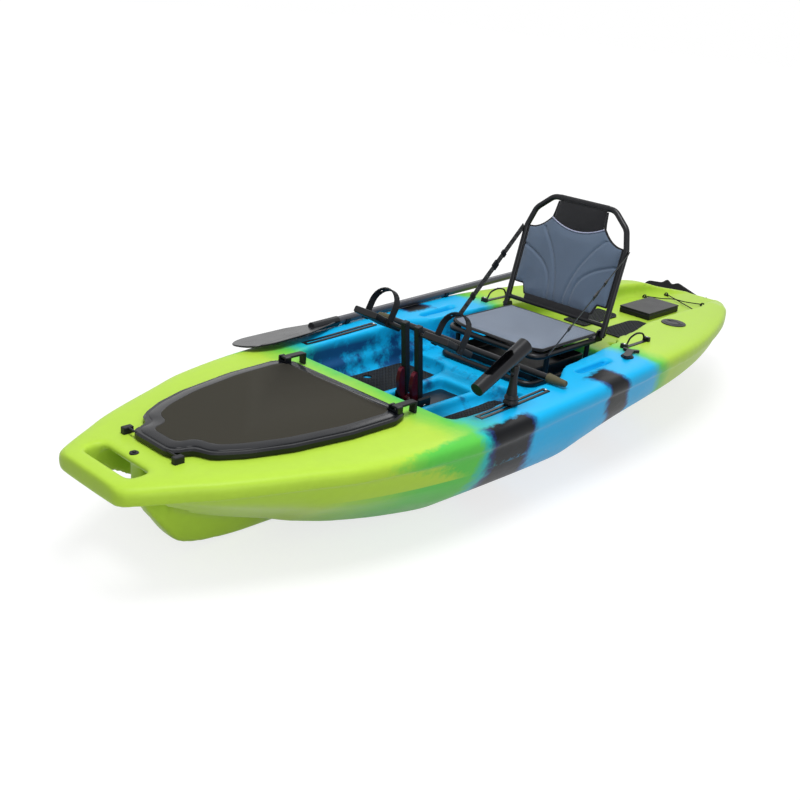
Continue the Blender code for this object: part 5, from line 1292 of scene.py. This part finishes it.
def make_seat_base():
    mesh = panel_mesh("seat_base_pad", 0.193, level(0.0), base_front_line, 0.021)
    pad = place("seat_base_pad", mesh, pale_cloth, None)
    swell(pad, 0.0050, 3.5, 0.0035)
    finish_pad(pad, pale_cloth)
    for vertex in pad.data.vertices:
        y, x, z = vertex.co
        x += BASE_REAR
        drop = base_sag(x, y) if z > 0 else 0.0
        vertex.co = (x, y, base_middle + z - drop)
    outward(pad)
    on_frame(pad, "hull", "pale_fabric", "seat_base_cushion")
    return pad


def base_edge(steps=26):
    ys = [0.193 * (2 * i / steps - 1) for i in range(steps + 1)]
    front = [(BASE_REAR + base_front_line(y), y, base_middle) for y in ys]
    return front + [(BASE_REAR, y, base_middle) for y in (0.193, -0.193)]


seat_base_pad = make_seat_base()
base_tape = bent_tube("seat_base_tape", [base_edge()], 0.0052, 0.012, black_cloth, closed=True)
on_frame(base_tape, "hull", "slate_fabric")
print("seat base pad:", len(seat_base_pad.data.polygons), "faces")

# %% [markdown]
# The seat back is a slate panel up to the shoulders, with a black panel above it that is sleeved over the
# hoop. A pale piping runs between them in a hanging curve. An oval is left open at each upper corner, and
# the lower corners are cut away round the hoop's legs. All edges have a black tape.

# %% Lines of the seat back
PANEL_HALF = 0.2025
SHOULDER = 0.300
PIPING_END = 0.112
FOOT = 0.056
FOOT_NOTCH = 0.038


def panel_foot(y):
    share = min(1.0, max(0.0, (abs(y) - 0.146) / 0.018))
    return FOOT + FOOT_NOTCH * share * share * (3 - 2 * share)


def panel_top(y):
    y = abs(y)
    if y <= PIPING_END:
        return 0.322 + 2.4 * y * y
    share = min(1.0, (y - PIPING_END) / (PANEL_HALF - PIPING_END))
    return SHOULDER + 0.052 * (1 - share) ** 2.2


CHANNELS = ((0.018, 0.115, 0.314, 2.6, 0.312), (0.050, 0.150, 0.235, 5.0, 0.235))


def channel_y(channel, s):
    start, spread, reach, power, _ = channel
    return start + spread * (s / reach) ** power


def to_channel(y, s):
    """The distance from a point of the back to the nearest sewn channel."""
    near = 1.0
    for channel in CHANNELS:
        _, spread, reach, power, end = channel
        if s > end + 0.004:
            continue
        slope = spread * power / reach * (s / reach) ** (power - 1)
        near = min(near, abs(abs(y) - channel_y(channel, s)) / math.hypot(1.0, slope))
    return near


# %% [markdown]
# The back is blown up flat and then leant with the hoop. The channels are pressed in along the sewn lines.

# %% Seat back cushion
def make_seat_back():
    mesh = panel_mesh("seat_back_pad", PANEL_HALF, panel_foot, panel_top, 0.020)
    pad = place("seat_back_pad", mesh, slate_cloth, None)
    swell(pad, 0.0050, 3.5, 0.0035)
    finish_pad(pad, slate_cloth)
    for vertex in pad.data.vertices:
        y, s, z = vertex.co
        if z > 0:
            z -= 0.0042 * math.exp(-((to_channel(y, s) / 0.0052) ** 2))
        vertex.co = on_back(y, s, z)
    outward(pad)
    on_frame(pad, "seat_back", "slate_fabric", "seat_back_cushion")
    return pad


seat_back_pad = make_seat_back()
print("seat back pad:", len(seat_back_pad.data.polygons), "faces")


# %% [markdown]
# A black panel closes the top of the back and is sleeved over the hoop, and a black band crosses its foot.
# In the photograph the band reaches the seat base. A band that low is cut by the cushion when the back is
# folded right down, so here it stops higher and leaves a strip open. A band that bends over the fold, as
# real cloth does, would be better.

# %% Black panel, lumbar band and sleeve
LUMBAR_LOW = 0.022
LUMBAR_HIGH = 0.062


def top_half(v):
    return PIPING_END - 0.002 - 0.008 * v


def padded_block(name, half, low_line, high_line, thick, forward, finish):
    mesh = panel_mesh(name, half, low_line, high_line, thick, 28, 14)
    pad = place(name, mesh, finish, None)
    swell(pad, 0.0050, 3.0, 0.003)
    finish_pad(pad, finish)
    for vertex in pad.data.vertices:
        y, s, z = vertex.co
        vertex.co = on_back(y, s, forward + z)
    outward(pad)
    on_frame(pad, "seat_back", "slate_fabric")
    return pad


def piping_low(y):
    return panel_top(y) - 0.004


padded_block("seat_back_top", top_half, piping_low, level(HOOP_TOP - 0.004), 0.014, 0.001, black_cloth)
padded_block("lumbar_band", 0.148, level(LUMBAR_LOW), level(LUMBAR_HIGH), 0.010, 0.001, black_cloth)
sleeve_line = [on_back(0.104, HOOP_TOP), on_back(-0.104, HOOP_TOP)]
sleeve = bent_tube("hoop_sleeve", [sleeve_line], 0.0114, 0.0, black_cloth)
on_frame(sleeve, "seat_back", "slate_fabric")
print("seat back top, lumbar band and sleeve made")

# %% [markdown]
# Tape, piping and stitches follow lines on the finished cloth. A ray is sent at the cloth from in front of
# each point of the line, so that thread lies on the real surface, down in its channel.

# %% Tape, piping and stitches
def tape_lines():
    lines = []
    for _, side in SIDES:
        ys = [PIPING_END + (PANEL_HALF - PIPING_END) * i / 12 for i in range(13)]
        oval = [on_back(side * 0.103, 0.412), on_back(side * 0.108, 0.372)]
        oval += [on_back(side * y, panel_top(y)) for y in ys]
        foot_ys = [0.1460, 0.1500, 0.1550, 0.1600, 0.1650]
        foot = [on_back(side * y, panel_foot(y)) for y in reversed(foot_ys)]
        lines.append(oval + [on_back(side * PANEL_HALF, FOOT + FOOT_NOTCH)] + foot)
    return lines


tape = bent_tube("seat_back_tape", tape_lines(), 0.0046, 0.004, black_cloth)
on_frame(tape, "seat_back", "slate_fabric")
piping_ys = [PIPING_END * (i / 10 - 1) for i in range(21)]
piping_path = [on_back(y, panel_top(y) - 0.001, 0.0066) for y in piping_ys]
piping = bent_tube("seat_back_piping", [piping_path], 0.0024, 0.0, piping_cloth)
on_frame(piping, "seat_back", "pale_fabric")


def on_cloth(piece, path, facing, lift):
    surface = surface_of(piece)
    laid = []
    for point in path:
        hit = surface.ray_cast(Vector(point) + facing * 0.06, -facing)[0]
        if hit:
            laid.append(hit + facing * lift)
    return laid


def channel_paths():
    paths = []
    for channel in CHANNELS:
        end = channel[4]
        for _, side in SIDES:
            steps = [FOOT + 0.012 + (end - FOOT - 0.022) * i / 40 for i in range(41)]
            spread = [(channel_y(channel, s), s) for s in steps]
            path = [on_back(side * y, s) for y, s in spread if y < PANEL_HALF - 0.008]
            paths.append(on_cloth(seat_back_pad, path, back_ahead, 0.0002))
    return paths


stitch_size = (0.0009, 0.0009, 0.0034)
back_stitches = row("seat_back_stitches", stitch_tree, channel_paths(), 0.0048, stitch_size, thread)
on_frame(back_stitches, "seat_back", "slate_fabric")


def base_stitch_path():
    path = []
    for x, y, _ in base_edge():
        inward = Vector((BASE_REAR + BASE_LENGTH / 2 - x, -y, 0)).normalized() * 0.012
        path.append((x + inward.x, y + inward.y, base_middle))
    return on_cloth(seat_base_pad, path, UP, 0.0002)


base_paths = [base_stitch_path()]
base_stitches = row("seat_base_stitches", stitch_tree, base_paths, 0.0048, stitch_size, thread, closed=True)
on_frame(base_stitches, "hull", "pale_fabric")
print("stitches:", len(back_stitches.data.polygons) + len(base_stitches.data.polygons), "faces")

# %% [markdown]
# A webbing strap on each side holds the back up. It is a flat ribbon with a ladder buckle, running from the
# hoop's shoulder to the front of the seat frame. It is laid straight between its two ends as they stand with
# the back up, and is not set on either body.

# %% Seat straps
def ribbon(name, path, across, width, thick, finish):
    rings = []
    for i, point in enumerate(path):
        here = Vector(point)
        ahead = (Vector(path[min(i + 1, len(path) - 1)]) - Vector(path[max(i - 1, 0)])).normalized()
        side = (across - ahead * across.dot(ahead)).normalized() * width / 2
        face = ahead.cross(side).normalized() * thick / 2
        edge = side * 0.94
        rings.append([
            here + side, here + edge + face, here - edge + face,
            here - side, here - edge - face, here + edge - face,
        ])
    return place(name, loft_mesh(name, rings), finish, None, 50.0)


for word, side in SIDES:
    top = on_back(side * (LEG_Y + SEAT_TUBE + 0.003), 0.295)
    low = Vector((-0.060, side * (SEAT_HALF + SEAT_TUBE + 0.0018), 0.356))
    path = [top.lerp(low, i / 24) for i in range(25)]
    across = Vector((1.0, 0.0 if side < 0 else 0.6, 0.6))
    strap = ribbon(word + "_strap", path, across, 0.024, 0.0022, black_webbing)
    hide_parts("seat_strap_" + word)
    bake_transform(strap)
    along = (low - top).normalized()
    for number, share in enumerate((0.30, 0.42, 0.74)):
        middle = top.lerp(low, share)
        half = 0.014 if number == 1 else 0.008
        path = [middle + along * t * half for t in (-1.0, -0.7, 0.0, 0.7, 1.0)]
        buckle = ribbon(f"{word}_buckle_{number}", path, across, 0.029, 0.0066, black_plastic)
        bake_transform(buckle)
print("straps made")

# %% [markdown]
# Each pedal strap is a rubber band over the foot with a row of adjustment holes. The holes are real, drilled
# square to the band round its arch, and ribs run across the band between them.

# %% Pedal straps
PEDAL_TILT = math.radians(-28.0)
STRAP_WAIST = 0.0487
STRAP_RADIUS = 0.0518
pedal_across = Vector((0, 1, 0))
pedal_lift = Vector((math.sin(PEDAL_TILT), 0, math.cos(PEDAL_TILT)))
pedal_long = Vector((math.cos(PEDAL_TILT), 0, -math.sin(PEDAL_TILT)))


def strap_spot(pin, angle, radius):
    a = math.radians(angle)
    out = pedal_across * math.cos(a) + pedal_lift * math.sin(a)
    return pin + pedal_lift * STRAP_WAIST + out * radius, out


for word, side in SIDES:
    low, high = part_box("pedal_" + word)
    pin = (low + high) / 2
    drills = []
    for number, angle in enumerate(range(52, 140, 19)):
        spot, out = strap_spot(pin, angle, STRAP_RADIUS)
        bm = bmesh.new()
        bmesh.ops.create_cone(bm, cap_ends=True, segments=12, radius1=0.0042, radius2=0.0042, depth=0.02)
        turn = out.to_track_quat("Z", "Y").to_matrix().to_4x4()
        bmesh.ops.transform(bm, matrix=Matrix.Translation(spot) @ turn, verts=bm.verts)
        name = f"{word}_drill_{number}"
        drills.append(place(name, clean_mesh(bm, name), dark_rubber, None))
    dressed("pedal_strap_" + word, dark_rubber, "rubber", 0.0005, cutters=drills)
    ribs = [strap_spot(pin, angle, STRAP_RADIUS + 0.0020)[0] for angle in range(42, 150, 2)]
    arcs = [[point + pedal_long * offset for point in ribs] for offset in (-0.0118, 0.0118)]
    teeth = row(word + "_strap_ribs", rib_tree, arcs, 0.0042, (0.0016, 0.0030, 0.0020), dark_rubber)
    on_frame(teeth, "pedal_" + word, "rubber")
print("pedal straps made")

# %% [markdown]
# Small things finish the deck: the ribs of the rod holder's knob, screws where something is held down and
# the drain plug at the bow. The plug is turned on a lathe, so its profile is spun round its axis.

# %% Knob, screws and plug
low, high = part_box("rod_holder_post")
post_x, post_y = (low.x + high.x) / 2, (low.y + high.y) / 2
circle = [
    (post_x + 0.0218 * math.cos(t), post_y + 0.0218 * math.sin(t), low.z + 0.0060)
    for t in [2 * math.pi * i / 48 for i in range(48)]
]
knob_ribs = row("knob_ribs", rib_tree, [circle], 0.0076, (0.0030, 0.0070, 0.0030), black_plastic, closed=True)
on_frame(knob_ribs, "rod_holder_post", "black_plastic")

screw_places = []
for _, side in SIDES:
    track_y = side * (rim_half(0.339) - 0.099)
    for x in (0.178, 0.500):
        track_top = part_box("gear_track_port")[1].z
        screw_places.append((Vector((x, track_y, track_top - 0.0004 - (x - 0.174) * 0.078)), UP))
    for x in (-0.508, -0.360):
        screw_places.append((Vector((x, side * 0.314, deck_z(x) + 0.0155)), UP))
screws = spots("deck_screws", screw_tree, screw_places, (0.0085, 0.0085, 0.0046), plain_steel)
on_frame(screws, "hull", "steel")


def turned(name, profile, at, finish, sides=28):
    """Spin a profile of (radius, height) round a vertical axis."""
    bm = bmesh.new()
    verts = [bm.verts.new((r, 0, z)) for r, z in profile]
    edges = [bm.edges.new(pair) for pair in zip(verts, verts[1:])]
    bmesh.ops.spin(bm, geom=verts + edges, cent=(0, 0, 0), axis=(0, 0, 1), angle=2 * math.pi, steps=sides)
    bmesh.ops.translate(bm, vec=at, verts=bm.verts)
    return place(name, clean_mesh(bm, name, 0.0001), finish, None)


plug_at = Vector((1.399, 0.0, deck_z(1.399)))
profile = (
    (0.0, 0.0060), (0.0040, 0.0060), (0.0050, 0.0050), (0.0052, 0.0028), (0.0110, 0.0024), (0.0122, 0.0012),
    (0.0122, -0.0080), (0.0, -0.0080),
)
on_frame(turned("bow_plug", profile, plug_at, black_plastic), "hull", "black_plastic")
print("screws:", len(screw_places), "and a bow plug")

# %% [markdown]
# Two elastic cords hold a load in the rear well. The photograph shows more of them, and where they end
# can't be told. A taut cord runs straight, so its path is written out between the two eyes that hold it,
# and where the two cross, one lies over the other.

# %% Elastic cords
CORD_RADIUS = 0.0022
EYE_Z = 0.2968
EYES = {"front": (-1.240, 0.124), "rear": (-1.362, 0.088)}


def taut_path(start, end, hump, steps=24):
    path = []
    for i in range(steps + 1):
        t = i / steps
        point = Vector(start).lerp(Vector(end), t)
        point.z += hump * math.exp(-(((t - 0.5) / 0.13) ** 2))
        path.append(point)
    return path


def run_length(path):
    return sum((b - a).length for a, b in zip(path, path[1:]))


def make_cords():
    (front_x, front_y), (rear_x, rear_y) = EYES["front"], EYES["rear"]
    for name, side, hump in (("cord_port", 1, 0.0), ("cord_starboard", -1, 0.0052)):
        path = taut_path((front_x, side * front_y, EYE_Z), (rear_x, -side * rear_y, EYE_Z), hump)
        piece = bent_tube(name, [path], CORD_RADIUS, 0.0, dark_rubber)
        on_frame(piece, "hull", "rubber")
        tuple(path[0])
        run_length(path)
        print(name, "is", round(run_length(path), 3), "m long")


make_cords()
